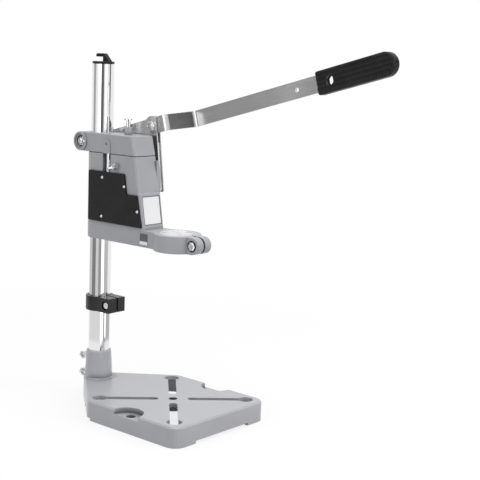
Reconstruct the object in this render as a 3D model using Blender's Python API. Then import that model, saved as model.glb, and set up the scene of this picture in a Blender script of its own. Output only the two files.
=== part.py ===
# Bench drill stand: a cast base with a round column, a clamped head bracket, and a
# spring-returned carriage with a clamp ring, worked down by a cranked hand lever.
#
# Frame: metres, +Z up. The origin is on the floor plane, on the column's axis.
# The front of the stand, where the ring and the lever's grip are, is -Y.

import math

import bmesh
import bpy
from mathutils import Matrix, Vector

# Clearances and facets
FIT_GAP = 0.0003
RUNNING_GAP = 0.00035
CUT_OVERRUN = 0.002
ROUND_SIDES = 48
BOSS_SIDES = 32
MEDIUM_SIDES = 24
SMALL_SIDES = 12
CORNER_STEPS = 5
EDGE_STEPS = 2
SHARP_ANGLE = math.radians(35)

# Column and its cap
COLUMN_DIAMETER = 0.025
COLUMN_WALL = 0.0016
COLUMN_TOP = 0.387
COLUMN_RADIUS = COLUMN_DIAMETER / 2
COLUMN_BORE_RADIUS = COLUMN_RADIUS - COLUMN_WALL
CAP_FLANGE_THICKNESS = 0.0026
CAP_PLUG_DEPTH = 0.014
CAP_EDGE = 0.0006
HOOK_LENGTH = 0.0209
HOOK_HEIGHT = 0.0089
HOOK_THICKNESS = 0.0052
HOOK_FRONT = 0.0113
HOOK_OUTLINE_SHARES = (
    (0.00, -0.04), (0.46, -0.04), (0.46, 0.67), (0.48, 0.72), (0.62, 0.72), (0.64, 0.68),
    (0.64, 0.60), (0.66, 0.57), (0.94, 0.57), (0.99, 0.63), (1.00, 0.73), (0.99, 0.85),
    (0.93, 0.96), (0.86, 1.00), (0.42, 1.00), (0.35, 0.90), (0.32, 0.81), (0.00, 0.05),
)

# Base casting
BASE_HEIGHT = 0.0227
BASE_HALF_WIDTH = 0.0728
BASE_FRONT = 0.1969
BASE_CORNER_RADIUS = 0.013
BASE_SHOULDER = 0.062
BASE_SHOULDER_RADIUS = 0.014
BASE_EDGE = 0.0018
BASE_WALL = 0.0045
BASE_PLATE = 0.005
DRILL_OFFSET = 0.1223
CENTRE_HOLE_DIAMETER = 0.010
CENTRE_BOSS_WALL = 0.004
SLOT_WIDTH = 0.009
SLOT_START = 0.016
SLOT_END = 0.081
SLOT_EYE_DIAMETER = 0.017
SLOT_START_STEPS = 8
SLOT_EYE_STEPS = 20
LEDGE_OFFSET = 0.1235
LEDGE_RADIUS = 0.019
LEDGE_DEPTH = 0.0055
LEDGE_THICKNESS = 0.005
LEDGE_WALL = 0.003
LEDGE_STEPS = 16
BENCH_HOLE_DIAMETER = 0.0108
BENCH_HOLE_SETBACK = 0.0073
FOOT_HEIGHT = 0.003
FRONT_RELIEF_HALF = 0.042
REAR_RELIEF_FRONT = 0.067
REAR_RELIEF_BACK = 0.024
RIB_THICKNESS = 0.003
RIB_DEPTH = 0.007

# Column socket on the base
SOCKET_FLOOR = 0.006
SOCKET_FOOT_RADIUS = 0.0174
SOCKET_RIM_RADIUS = 0.0144
SOCKET_TOP = 0.056
SOCKET_EDGE = 0.0011
SOCKET_FILLET = 0.0011
SOCKET_PAD_HALF_WIDTH = 0.0055
SOCKET_PAD_REACH = 0.0176
SOCKET_PAD_CORNER = 0.002
SOCKET_PAD_TOP = 0.0505
SOCKET_PAD_BOTTOM = 0.010
SOCKET_BOLT_HEIGHTS = (0.0225, 0.0430)
SOCKET_BOLT_DIAMETER = 0.005
SOCKET_BOLT_STANDOFF = 0.0076
SOCKET_BOLT_HEAD = 0.004
SOCKET_BOLT_FLATS = 0.0088

# Stop collar
COLLAR_BOTTOM = 0.1042
COLLAR_HEIGHT = 0.017
COLLAR_RADIUS = 0.0162
COLLAR_HALF_WIDTH = 0.0132
COLLAR_FRONT = 0.0287
COLLAR_SLIT = 0.0022
COLLAR_SLIT_SIDE = 0.0010
COLLAR_EDGE = 0.0005
COLLAR_STEPS = 28
COLLAR_SCREW_OFFSET = 0.0230
COLLAR_SCREW_DIAMETER = 0.005
COLLAR_SCREW_HEAD_DIAMETER = 0.0087
COLLAR_SCREW_HEAD = 0.004
COLLAR_SCREW_ROUND = 0.0008
COLLAR_SCREW_SINK = 0.0014
COLLAR_SCREW_KEY_FLATS = 0.004
COLLAR_SCREW_KEY_DEPTH = 0.0022
COLLAR_RECESS_FLATS = 0.0097
COLLAR_NUT_FLATS = 0.008
COLLAR_NUT_THICKNESS = 0.0032
COLLAR_POCKET_LENGTH = 0.0014
COLLAR_POCKET_WIDTH = 0.0026
COLLAR_POCKET_DEPTH = 0.002
COLLAR_POCKETS = ((0.0052, 0.0172), (0.0098, 0.0232), (-0.0045, 0.0256))

# Head: sizes shared by the bracket and the carriage
HEAD_HALF_WIDTH = 0.0165
HEAD_CORNER_RADIUS = 0.003
HEAD_EDGE = 0.001
HEAD_REAR_SHIFT = 0.0022

# Upper bracket, clamped to the column
BRACKET_BOTTOM = 0.2884
BRACKET_HEIGHT = 0.0218
BRACKET_FRONT_WALL = 0.0074
BRACKET_SLOPE = 0.0056
BRACKET_SLIT = 0.002
BRACKET_BOSS_STEPS = 14
FULCRUM_OFFSET = 0.0183
FULCRUM_RISE = 0.0109
FULCRUM_BOSS_RADIUS = 0.0113
FULCRUM_BOSS_PROUD = 0.0014
FULCRUM_BOLT_DIAMETER = 0.006
FULCRUM_BOLT_FLATS = 0.010
FULCRUM_BOLT_HEAD = 0.0045
FULCRUM_NUT_THICKNESS = 0.0042
FULCRUM_STEP_RADIUS = 0.0085
FULCRUM_STEP_DEPTH = 0.0014
FULCRUM_NUT_RECESS_RADIUS = 0.0066
FULCRUM_NUT_RECESS_DEPTH = 0.0062
FULCRUM_SPACER_RADIUS = 0.007
FULCRUM_WASHER_RADIUS = 0.0075
FULCRUM_WASHER_THICKNESS = 0.0014
PAD_HALF_WIDTH = 0.0058
PAD_PROUD = 0.0008
PAD_ARC_RISE = 0.0099
PAD_STEPS = 12

# Guide rod, which keeps the carriage from turning
GUIDE_SIDE = 0.0123
GUIDE_OFFSET = 0.0257
GUIDE_DIAMETER = 0.007
GUIDE_TOP_COVER = 0.0062
GUIDE_LENGTH = 0.108
GUIDE_PIN_RISE = 0.0107
GUIDE_PIN_DIAMETER = 0.0026
GUIDE_PIN_REACH = 0.0075
GUIDE_GROOVE_WIDTH = 0.0130
GUIDE_GROOVE_DEPTH = 0.0085
GUIDE_GROOVE_HEIGHT = 0.0246

# Depth stop
DEPTH_OFFSET = 0.0424
DEPTH_ROD_DIAMETER = 0.005
DEPTH_ROD_LENGTH = 0.1134
DEPTH_HEAD_RADIUS = 0.0046
DEPTH_HEAD_THICKNESS = 0.0016
DEPTH_HEAD_RISE = 0.0078
DEPTH_BOSS_RADIUS = 0.0042
DEPTH_BOSS_HEIGHT = 0.0084
WING_DROP = 0.0128
WING_SHANK_DIAMETER = 0.004
WING_HUB_RADIUS = 0.0034
WING_HUB_TAPER = 0.0005
WING_HUB_LENGTH = 0.0055
WING_SPAN = 0.0150
WING_DEPTH = 0.0062
WING_THICKNESS = 0.0024
WING_TURN = math.radians(30)
WING_OUTLINE_SHARES = ((0.0, 0.18), (0.0, 0.40), (0.75, 1.0), (1.0, 1.0), (1.0, 0.55), (0.35, 0.18))

# Return spring between the bracket and the carriage
SPRING_AHEAD = 0.0099
SPRING_RADIUS = 0.0040
SPRING_WIRE_DIAMETER = 0.0011
SPRING_COILS = 22
SPRING_POINTS_PER_COIL = 9
SPRING_TOP_LEAD = 0.0165
SPRING_BOTTOM_LEAD = 0.0135
SPRING_TOP_PIN_RISE = 0.0086
SPRING_BOTTOM_PIN_RISE = 0.0265
SPRING_PIN_DIAMETER = 0.003
SPRING_PIN_OVERHANG = 0.0045
SPRING_BORE_RADIUS = 0.0058
SPRING_BORE_FLOOR = 0.006
SPRING_BORE_ROOF = 0.0065
SPRING_HOOK_POINTS = 9
SPRING_BOTTOM_HOOK = (130, 360)
SPRING_TOP_HOOK = (0, 230)

# Carriage casting
CARRIAGE_HEIGHT = 0.0981
ARM_THICKNESS = 0.019
PANEL_HEIGHT = 0.0386
PANEL_SLOPE = 0.0064
STEP_HEIGHT = 0.001
STEP_DEPTH = 0.0016
STEP_SLOPE = 0.0071
CARRIAGE_BACK_STEPS = 18
POCKET_RISE = 0.024
POCKET_HEIGHT = 0.048
POCKET_BACK = 0.0235
POCKET_FRONT = 0.049
POCKET_DEPTH = 0.0128
LABEL_RECESS = 0.0010
LABEL_HALF_WIDTH = 0.0124
LABEL_HEIGHT = 0.0300
LABEL_MARGIN = 0.0020
LABEL_LIFT = 0.0011
LABEL_THICKNESS = 0.0004
LUG_ABOVE = 0.0250
LUG_SHOULDER_ABOVE = 0.0085
LUG_BELOW = 0.0095
LUG_BEHIND = 0.0060
LUG_AHEAD = 0.0090

# Clamp ring on the carriage arm
RING_BORE_DIAMETER = 0.0384
RING_RADIUS = 0.0262
RING_ARM_FILLET = 0.014
RING_EDGE = 0.0009
RING_SLIT = 0.003
RING_STEPS = 40
EAR_OUTER = 0.0105
EAR_CENTRE = 0.1535
EAR_ROOT = 0.1440
EAR_STEPS = 20
EAR_RECESS_RADIUS = 0.0064
EAR_RECESS_DEPTH = 0.0036
RING_BOLT_DIAMETER = 0.005
RING_BOLT_FLATS = 0.0086
RING_BOLT_HEAD = 0.0048
RING_BOLT_END = 0.0012
RING_NUT_THICKNESS = 0.0045

# Side cover on the spring chamber
COVER_THICKNESS = 0.0018
COVER_EDGE = 0.0004
COVER_RISE = 0.021
COVER_HEIGHT = 0.0569
COVER_NOTCH_RISE = 0.0350
COVER_BACK = 0.0022
COVER_FRONT_TOP = 0.0562
COVER_FRONT_SLOPE = 0.0034
COVER_STEP = 0.0170
COVER_PANEL_SLOPE = 0.0080
COVER_CORNER = 0.0012
COVER_CORNER_STEPS = 3
COVER_SCREW_PLACES = ((0.0222, 0.0502), (0.0580, 0.0429), (0.0795, 0.0173), (0.0219, 0.0060))
COVER_SCREW_HOLE_RADIUS = 0.0026
COVER_SCREW_HEAD_RADIUS = 0.0020
COVER_SCREW_HEAD_TOP_RADIUS = 0.0014
COVER_SCREW_HEAD = 0.0009
COVER_SCREW_DIAMETER = 0.0024
COVER_SCREW_LENGTH = 0.0060
COVER_SCREW_SINK = 0.0013
COVER_SCREW_SLOT = 0.0006
COVER_SCREW_SLOT_REACH = 0.0012
COVER_SCREW_SLOT_DEPTH = 0.0004

# Plain tag on the arm
TAG_THICKNESS = 0.0003
TAG_GAP = 0.0001
TAG_BACK = 0.0815
TAG_LENGTH = 0.0113
TAG_RISE = 0.0031
TAG_HEIGHT = 0.0119

# Lever and grip
LEVER_ANGLE = math.radians(15.3)
LEVER_SIDE = 0.0236
LEVER_WIDTH = 0.018
LEVER_THICKNESS = 0.0032
LEVER_FIRST_LENGTH = 0.0987
LEVER_CRANK_FORWARD = 0.0160
LEVER_CRANK_OUT = 0.0327
LEVER_SECOND_LENGTH = 0.1758
LEVER_BEND_RADIUS = 0.006
LEVER_BEND_STEPS = 4
LEVER_TAIL_STEPS = 5
LEVER_PIN_DISTANCE = 0.0798
LEVER_EYE_DIAMETER = 0.005
LEVER_EYE_SETBACK = 0.0279
GRIP_LENGTH = 0.0955
GRIP_HEIGHT = 0.0247
GRIP_THICKNESS = 0.0104
GRIP_EDGE = 0.0016
GRIP_START_CORNER = 0.0022
GRIP_END_STEPS = 20
GRIP_TANG_DEPTH = 0.062
GRIP_TANG_MARGIN = 0.0006
GRIP_HOLE_SETBACK = 0.0159
GRIP_HOLE_DIAMETER = 0.0106
GRIP_HOLE_FLARE = 0.0005
GRIP_FLUTES = 4
GRIP_FLUTE_PITCH = 0.00495
GRIP_FLUTE_WIDTH = 0.0041
GRIP_FLUTE_DEPTH = 0.0011
GRIP_FLUTE_MARGIN = 0.0024
GRIP_END_HOLE_RADIUS = 0.0015
GRIP_END_HOLE_DEPTH = 0.006

# Link between the lever and the carriage
LINK_FRONT = 0.0072
LINK_REAR = 0.0102
LINK_SHEET = 0.00125
LINK_TOP_RADIUS = 0.0113
LINK_BOTTOM_END = 0.0116
LINK_FRONT_CORNER = 0.002
LINK_REAR_CORNER = 0.006
LINK_WEB_RECESS = 0.0013
LINK_WEB_START = 0.019
LINK_WEB_PAST_STUD = 0.009
LINK_PIN_DIAMETER = 0.006
LINK_NUT_THICKNESS = 0.0028
LINK_NUT_FLATS = 0.010
LINK_HEAD = 0.0036
LINK_LENGTH = 0.0628
LINK_LEAN = math.radians(6.8)
LINK_STUD_DIAMETER = 0.005
LINK_STUD_HEAD_RADIUS = 0.0052
LINK_STUD_HEAD = 0.0026
LINK_STUD_EDGE = 0.0007
LINK_STUD_SLOT = 0.0012
LINK_STUD_SLOT_DEPTH = 0.0008
LINK_STUD_DEPTH = 0.008
LINK_SPACER_RADIUS = 0.0040
LINK_SLOT_ACROSS = 0.0112
LINK_SLOT_ALONG = 0.0076
LINK_SLOT_RISE = 0.00055
LINK_SLOT_BACK = 0.0025
LINK_SLOT_STEPS = 8
LINK_TOP_STEPS = 12

# Derived places used by several pieces
HEAD_BORE_RADIUS = COLUMN_RADIUS + RUNNING_GAP
BRACKET_TOP = BRACKET_BOTTOM + BRACKET_HEIGHT
SPRING_OFFSET = DEPTH_OFFSET + SPRING_AHEAD
BRACKET_FRONT_TOP = SPRING_OFFSET + SPRING_BORE_RADIUS + BRACKET_FRONT_WALL
BRACKET_FRONT_BOTTOM = BRACKET_FRONT_TOP + BRACKET_SLOPE
FULCRUM_HEIGHT = BRACKET_BOTTOM + FULCRUM_RISE
GUIDE_TOP = BRACKET_TOP - GUIDE_TOP_COVER
GUIDE_PIN_HEIGHT = BRACKET_BOTTOM + GUIDE_PIN_RISE
CARRIAGE_TOP = BRACKET_BOTTOM - FIT_GAP
CARRIAGE_BOTTOM = CARRIAGE_TOP - CARRIAGE_HEIGHT
ARM_TOP = CARRIAGE_BOTTOM + ARM_THICKNESS
STEP_BOTTOM = ARM_TOP + PANEL_HEIGHT
STEP_TOP = STEP_BOTTOM + STEP_HEIGHT
STEP_FRONT = BRACKET_FRONT_BOTTOM + STEP_SLOPE
PANEL_FRONT_TOP = STEP_FRONT + STEP_DEPTH
PANEL_FRONT_BOTTOM = PANEL_FRONT_TOP + PANEL_SLOPE
POCKET_BOTTOM = CARRIAGE_BOTTOM + POCKET_RISE
DEPTH_BOSS_TOP = BRACKET_TOP + DEPTH_BOSS_HEIGHT
DEPTH_HEAD_BOTTOM = DEPTH_BOSS_TOP + DEPTH_HEAD_RISE
WING_HEIGHT = CARRIAGE_TOP - WING_DROP
SPRING_TOP_PIN_HEIGHT = BRACKET_BOTTOM + SPRING_TOP_PIN_RISE
SPRING_BOTTOM_PIN_HEIGHT = CARRIAGE_BOTTOM + SPRING_BOTTOM_PIN_RISE
COVER_BOTTOM = CARRIAGE_BOTTOM + COVER_RISE
COVER_OUTER_FACE = -HEAD_HALF_WIDTH - FIT_GAP - COVER_THICKNESS
EAR_HEIGHT = (ARM_TOP + CARRIAGE_BOTTOM) / 2
EAR_RADIUS = (ARM_TOP - CARRIAGE_BOTTOM) / 2
LEVER_INNER_FACE = LEVER_SIDE - LEVER_THICKNESS / 2
LEVER_OUTER_FACE = LEVER_SIDE + LEVER_THICKNESS / 2
LINK_INNER_FACE = LEVER_INNER_FACE - FIT_GAP - LINK_SHEET
LINK_OUTER_FACE = LEVER_OUTER_FACE + FIT_GAP + LINK_SHEET
GRIP_START = LEVER_FIRST_LENGTH + LEVER_CRANK_FORWARD + LEVER_SECOND_LENGTH
GRIP_SIDE = LEVER_SIDE + LEVER_CRANK_OUT


# Materials
def make_finish(name, colour, roughness, metallic):
    finish = bpy.data.materials.new(name)
    finish.use_nodes = True
    shader = finish.node_tree.nodes["Principled BSDF"]
    shader.inputs["Base Color"].default_value = (*colour, 1.0)
    shader.inputs["Roughness"].default_value = roughness
    shader.inputs["Metallic"].default_value = metallic
    finish.diffuse_color = (*colour, 1.0)
    return finish


def make_finishes():
    return {
        "cast": make_finish("cast_grey_paint", (0.38, 0.38, 0.40), 0.42, 0.35),
        "chrome": make_finish("bright_chrome", (0.82, 0.82, 0.82), 0.10, 1.0),
        "steel": make_finish("brushed_steel", (0.52, 0.51, 0.50), 0.32, 1.0),
        "zinc": make_finish("zinc_plated_steel", (0.66, 0.66, 0.65), 0.28, 1.0),
        "black": make_finish("black_plastic", (0.025, 0.025, 0.026), 0.48, 0.0),
        "grip": make_finish("grip_plastic", (0.020, 0.020, 0.021), 0.55, 0.0),
        "spring": make_finish("spring_steel", (0.45, 0.45, 0.46), 0.35, 1.0),
        "label": make_finish("blank_label", (0.88, 0.88, 0.87), 0.40, 0.0),
        "tag": make_finish("plain_tag", (0.16, 0.16, 0.17), 0.45, 0.0),
    }


# Outlines in a plane
def arc(centre, radius, start, end, steps):
    """Points along an arc, both ends included. Angles in degrees."""
    points = []
    for step in range(steps + 1):
        angle = math.radians(start + (end - start) * step / steps)
        points.append((centre[0] + radius * math.cos(angle), centre[1] + radius * math.sin(angle)))
    return points


def rounded(corners, steps=CORNER_STEPS, closed=True):
    """An outline whose corners (u, v, radius) are turned into arcs."""
    points = []
    count = len(corners)
    for index, (u, v, radius) in enumerate(corners):
        at_end = not closed and index in (0, count - 1)
        if radius <= 0 or at_end:
            points.append((u, v))
            continue
        here = Vector((u, v))
        before = (Vector(corners[index - 1][:2]) - here).normalized()
        after = (Vector(corners[(index + 1) % count][:2]) - here).normalized()
        half = before.angle(after) / 2
        reach = radius / math.tan(half)
        centre = here + (before + after).normalized() * radius / math.sin(half)
        first = here + before * reach - centre
        turn = first.angle_signed(here + after * reach - centre)
        for step in range(steps + 1):
            spoke = Matrix.Rotation(-turn * step / steps, 2) @ first
            points.append(tuple(centre + spoke))
    return points


def inset(points, amount):
    """The same closed outline moved inwards; the outline runs anticlockwise."""
    moved = []
    count = len(points)
    for index in range(count):
        here = Vector(points[index])
        arrive = (here - Vector(points[index - 1])).normalized()
        leave = (Vector(points[(index + 1) % count]) - here).normalized()
        normal = Vector((-arrive.y - leave.y, arrive.x + leave.x)).normalized()
        scale = max(normal.dot(Vector((-arrive.y, arrive.x))), 0.5)
        moved.append(tuple(here + normal * amount / scale))
    return moved


def rectangle(low_u, high_u, low_v, high_v):
    return [(low_u, low_v), (high_u, low_v), (high_u, high_v), (low_u, high_v)]


def circle(radius, sides):
    return [(radius * math.cos(math.tau * side / sides), radius * math.sin(math.tau * side / sides))
            for side in range(sides)]


def hexagon(flats, sides, corner=0):
    """A hexagon across its flats, sampled on as many rays as a circle of that many sides."""
    points = []
    for side in range(sides):
        angle = math.tau * side / sides
        reach = flats / 2 / math.cos((angle - math.radians(corner)) % math.radians(60) - math.radians(30))
        points.append((reach * math.cos(angle), reach * math.sin(angle)))
    return points


# Solids as meshes
def axis_point(axis, u, v, along):
    """A point from two plane coordinates and a distance along the named axis."""
    if axis == "X":
        return (along, u, v)
    if axis == "Y":
        return (u, along, v)
    return (u, v, along)


def loft(sections, ring=False):
    """Skin equal-count loops of points; a ring joins the last loop to the first."""
    mesh = bmesh.new()
    loops = [[mesh.verts.new(point) for point in section] for section in sections]
    pairs = list(zip(loops, loops[1:]))
    if ring:
        pairs.append((loops[-1], loops[0]))
    else:
        mesh.faces.new(loops[0])
        mesh.faces.new(loops[-1])
    for low, high in pairs:
        for index in range(len(low)):
            follow = (index + 1) % len(low)
            mesh.faces.new((low[index], low[follow], high[follow], high[index]))
    bmesh.ops.recalc_face_normals(mesh, faces=mesh.faces)
    return mesh


def prism(outline, low, high, axis="Z"):
    """An outline extruded along an axis."""
    mesh = bmesh.new()
    verts = [mesh.verts.new(axis_point(axis, u, v, low)) for u, v in outline]
    face = mesh.faces.new(verts)
    grown = bmesh.ops.extrude_face_region(mesh, geom=[face])
    lifted = [item for item in grown["geom"] if isinstance(item, bmesh.types.BMVert)]
    bmesh.ops.translate(mesh, verts=lifted, vec=axis_point(axis, 0, 0, high - low))
    bmesh.ops.recalc_face_normals(mesh, faces=mesh.faces)
    return mesh


def box(low, high):
    return prism(rectangle(low[0], high[0], low[1], high[1]), low[2], high[2])


def stacked(levels, centre, axis, ring=False):
    """Loops of a centred outline at places along an axis: (outline, along) pairs."""
    sections = []
    for outline, along in levels:
        sections.append([axis_point(axis, centre[0] + u, centre[1] + v, along) for u, v in outline])
    return loft(sections, ring)


def rod(radius, low, high, centre=(0, 0), axis="Z", sides=MEDIUM_SIDES, edge=0):
    """A round bar, with its ends chamfered by edge."""
    levels = [(circle(radius, sides), low), (circle(radius, sides), high)]
    if edge:
        levels = [(circle(radius - edge, sides), low), (circle(radius, sides), low + edge),
                  (circle(radius, sides), high - edge), (circle(radius - edge, sides), high)]
    return stacked(levels, centre, axis)


def sleeve(inner, outer, low, high, centre=(0, 0), axis="Z", sides=MEDIUM_SIDES, edge=0):
    """A round tube, with its outer edges chamfered by edge."""
    levels = [(circle(inner, sides), low), (circle(inner, sides), high), (circle(outer - edge, sides), high)]
    if edge:
        levels += [(circle(outer, sides), high - edge), (circle(outer, sides), low + edge)]
    levels.append((circle(outer - edge, sides), low))
    return stacked(levels, centre, axis, ring=True)


def hex_bolt(radius, flats, seat, head, tip, centre, axis, sides=MEDIUM_SIDES):
    """A hexagon bolt: its head runs from seat by head, its shank from seat to tip."""
    outward = 1 if head > 0 else -1
    chamfer = abs(head) / 6
    levels = [(circle(radius - chamfer, sides), tip), (circle(radius, sides), tip + outward * chamfer),
              (circle(radius, sides), seat), (hexagon(flats, sides), seat),
              (hexagon(flats, sides), seat + head - outward * chamfer),
              (circle(flats / 2 - chamfer, sides), seat + head)]
    return stacked(levels, centre, axis)


def hex_nut(bore, flats, low, high, centre, axis, sides=MEDIUM_SIDES):
    chamfer = (high - low) / 8
    levels = [(circle(bore, sides), low), (circle(bore, sides), high),
              (circle(flats / 2 - chamfer / 2, sides), high), (hexagon(flats, sides), high - chamfer),
              (hexagon(flats, sides), low + chamfer), (circle(flats / 2 - chamfer / 2, sides), low)]
    return stacked(levels, centre, axis, ring=True)


# Places worked out from the linkage, as (y, z)
def lever_pin_place():
    """Upper pin of the link, on the lever."""
    fulcrum = Vector((FULCRUM_OFFSET, FULCRUM_HEIGHT))
    return fulcrum + LEVER_PIN_DISTANCE * Vector((-math.cos(LEVER_ANGLE), math.sin(LEVER_ANGLE)))


def link_stud_place():
    """Lower stud of the link, on the carriage."""
    return lever_pin_place() - LINK_LENGTH * Vector((math.sin(LINK_LEAN), math.cos(LINK_LEAN)))


# Objects
def add_object(name, mesh, finish, pivot, local=False):
    """Make an object; its mesh is in world places unless it is local to its pivot."""
    data = bpy.data.meshes.new(name)
    mesh.to_mesh(data)
    mesh.free()
    item = bpy.data.objects.new(name, data)
    bpy.context.scene.collection.objects.link(item)
    if finish:
        data.materials.append(finish)
        data.shade_smooth()
        data.set_sharp_from_angle(angle=SHARP_ANGLE)
    if pivot:
        item.parent = pivot
        if not local:
            item.matrix_parent_inverse = pivot.matrix_world.inverted()
    return item


def combine(target, meshes, operation, local=False):
    """Add or cut away meshes with Boolean modifiers that keep their tool objects."""
    for mesh in meshes:
        tool = add_object(f"tool_{target.name}_{len(target.modifiers)}", mesh, None, target.parent, local)
        tool.hide_render = True
        tool.display_type = "WIRE"
        change = target.modifiers.new(f"{operation.lower()}_{len(target.modifiers)}", "BOOLEAN")
        change.operation = operation
        change.solver = "EXACT"
        change.object = tool


def cut(target, *meshes, local=False):
    combine(target, meshes, "DIFFERENCE", local)


def unite(target, *meshes, local=False):
    combine(target, meshes, "UNION", local)


def soften(target, width, segments=2):
    """Round the sharp edges of the object as it stands so far."""
    bevel = target.modifiers.new("soft_edges", "BEVEL")
    bevel.width = width
    bevel.segments = segments
    bevel.limit_method = "ANGLE"
    bevel.angle_limit = SHARP_ANGLE


def add_pivot(name, place, parent=None, turn=0):
    pivot = bpy.data.objects.new(name, None)
    bpy.context.scene.collection.objects.link(pivot)
    pivot.empty_display_size = FULCRUM_BOSS_RADIUS
    pivot.location = place
    pivot.rotation_euler.x = turn
    if parent:
        pivot.parent = parent
        pivot.location = parent.matrix_world.inverted() @ Vector(place)
    bpy.context.view_layer.update()
    return pivot


def add_pivots():
    """One empty for each moving body, standing on its joint's axis."""
    pivots = {}
    pivots["collar"] = add_pivot("collar_slide", (0, 0, COLLAR_BOTTOM))
    pivots["head"] = add_pivot("head_slide", (0, 0, BRACKET_BOTTOM))
    head = pivots["head"]
    pivots["carriage"] = add_pivot("carriage_slide", (0, 0, CARRIAGE_TOP), head)
    pivots["depth"] = add_pivot("depth_stop_slide", (0, -DEPTH_OFFSET, DEPTH_HEAD_BOTTOM), head)
    pivots["wing"] = add_pivot("wing_screw_turn", (-HEAD_HALF_WIDTH, -DEPTH_OFFSET, WING_HEIGHT),
                               pivots["carriage"])
    fulcrum = (0, FULCRUM_OFFSET, FULCRUM_HEIGHT)
    pivots["lever"] = add_pivot("lever_pivot", fulcrum, head, -LEVER_ANGLE)
    top = lever_pin_place()
    pivots["link"] = add_pivot("link_pivot", (0, top.x, top.y), pivots["lever"], LEVER_ANGLE - LINK_LEAN)
    return pivots


# Base
def base_outline():
    """Square work table with a tail that narrows to the column socket."""
    corner = Vector((BASE_HALF_WIDTH, -BASE_SHOULDER))
    lean = math.degrees(math.atan2(corner.y, corner.x) + math.acos(SOCKET_FOOT_RADIUS / corner.length))
    right_foot = arc((0, 0), SOCKET_FOOT_RADIUS, lean, 180 - lean, 3 * CORNER_STEPS)
    sides = [(-BASE_HALF_WIDTH, -BASE_SHOULDER, BASE_SHOULDER_RADIUS),
             (-BASE_HALF_WIDTH, -BASE_FRONT, BASE_CORNER_RADIUS),
             (BASE_HALF_WIDTH, -BASE_FRONT, BASE_CORNER_RADIUS),
             (BASE_HALF_WIDTH, -BASE_SHOULDER, BASE_SHOULDER_RADIUS)]
    tail = [(right_foot[-1][0], right_foot[-1][1], 0)] + sides + [(right_foot[0][0], right_foot[0][1], 0)]
    return rounded(tail, closed=False) + right_foot[1:-1]


def edge_levels(low, high, edge, low_edge=0, steps=EDGE_STEPS):
    """Heights and insets that round the top edge, and the bottom edge if asked; one step is a chamfer."""
    turns = [math.pi / 2 * step / steps for step in range(steps + 1)]
    levels = [(low, 0)]
    if low_edge:
        levels = [(low + low_edge * (1 - math.cos(turn)), low_edge * (1 - math.sin(turn))) for turn in turns]
    levels += [(high - edge + edge * math.sin(turn), edge * (1 - math.cos(turn))) for turn in turns]
    return levels


def soft_slab(outline, levels, axis="Z"):
    """A slab through the given places along its axis, each with an inset."""
    return loft([[axis_point(axis, u, v, along) for u, v in inset(outline, amount)]
                 for along, amount in levels])


def slot_outline(turn):
    """A slot from near the drill axis to a round eye, along one diagonal."""
    half = SLOT_WIDTH / 2
    eye = SLOT_EYE_DIAMETER / 2
    open_angle = math.degrees(math.asin(half / eye))
    points = arc((SLOT_START + half, 0), half, 270, 90, SLOT_START_STEPS)
    points += arc((SLOT_END, 0), eye, 180 - open_angle, open_angle - 180, SLOT_EYE_STEPS)
    spin = Matrix.Rotation(turn, 2)
    placed = [spin @ Vector(point) for point in points]
    return [(point.x, point.y - DRILL_OFFSET) for point in placed][::-1]


def half_disc(side, radius, overrun=0):
    """A half disc on the base's side edge, open to the outside; side is -1 or 1."""
    start = 90 if side > 0 else -90
    points = arc((side * BASE_HALF_WIDTH, -LEDGE_OFFSET), radius, start, start + 180, LEDGE_STEPS)
    if overrun:
        outer = side * (BASE_HALF_WIDTH + overrun)
        points = points + [(outer, points[-1][1]), (outer, points[0][1])]
    return points


def add_socket(base):
    """Tapered column socket with a small fillet at its foot and a flat pad behind it."""
    taper = (SOCKET_FOOT_RADIUS - SOCKET_RIM_RADIUS) / SOCKET_TOP
    foot = SOCKET_FOOT_RADIUS - taper * BASE_HEIGHT
    levels = [(circle(SOCKET_FOOT_RADIUS, ROUND_SIDES), 0),
              (circle(foot + SOCKET_FILLET, ROUND_SIDES), BASE_HEIGHT),
              (circle(foot, ROUND_SIDES), BASE_HEIGHT + SOCKET_FILLET),
              (circle(SOCKET_RIM_RADIUS, ROUND_SIDES), SOCKET_TOP - SOCKET_EDGE),
              (circle(SOCKET_RIM_RADIUS - SOCKET_EDGE, ROUND_SIDES), SOCKET_TOP)]
    unite(base, stacked(levels, (0, 0), "Z"))
    half = SOCKET_PAD_HALF_WIDTH
    pad = rounded([(-half, 0, 0), (half, 0, 0), (half, SOCKET_PAD_REACH, SOCKET_PAD_CORNER),
                   (-half, SOCKET_PAD_REACH, SOCKET_PAD_CORNER)])
    unite(base, prism(pad, SOCKET_PAD_BOTTOM, SOCKET_PAD_TOP))


def add_bench_ledges(base):
    """A lowered half-round ledge with a bolt hole in each long side."""
    ledge_top = BASE_HEIGHT - LEDGE_DEPTH
    ledge_low = ledge_top - LEDGE_THICKNESS
    plate_middle = BASE_HEIGHT - BASE_PLATE / 2
    for side in (-1, 1):
        hole_side = side * (BASE_HALF_WIDTH - BENCH_HOLE_SETBACK)
        unite(base, prism(half_disc(side, LEDGE_RADIUS + LEDGE_WALL), ledge_low, plate_middle))
        cut(base, prism(half_disc(side, LEDGE_RADIUS, CUT_OVERRUN), ledge_top, BASE_HEIGHT + CUT_OVERRUN))
        cut(base, rod(BENCH_HOLE_DIAMETER / 2, 0, BASE_HEIGHT + CUT_OVERRUN, (hole_side, -LEDGE_OFFSET)))


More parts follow.
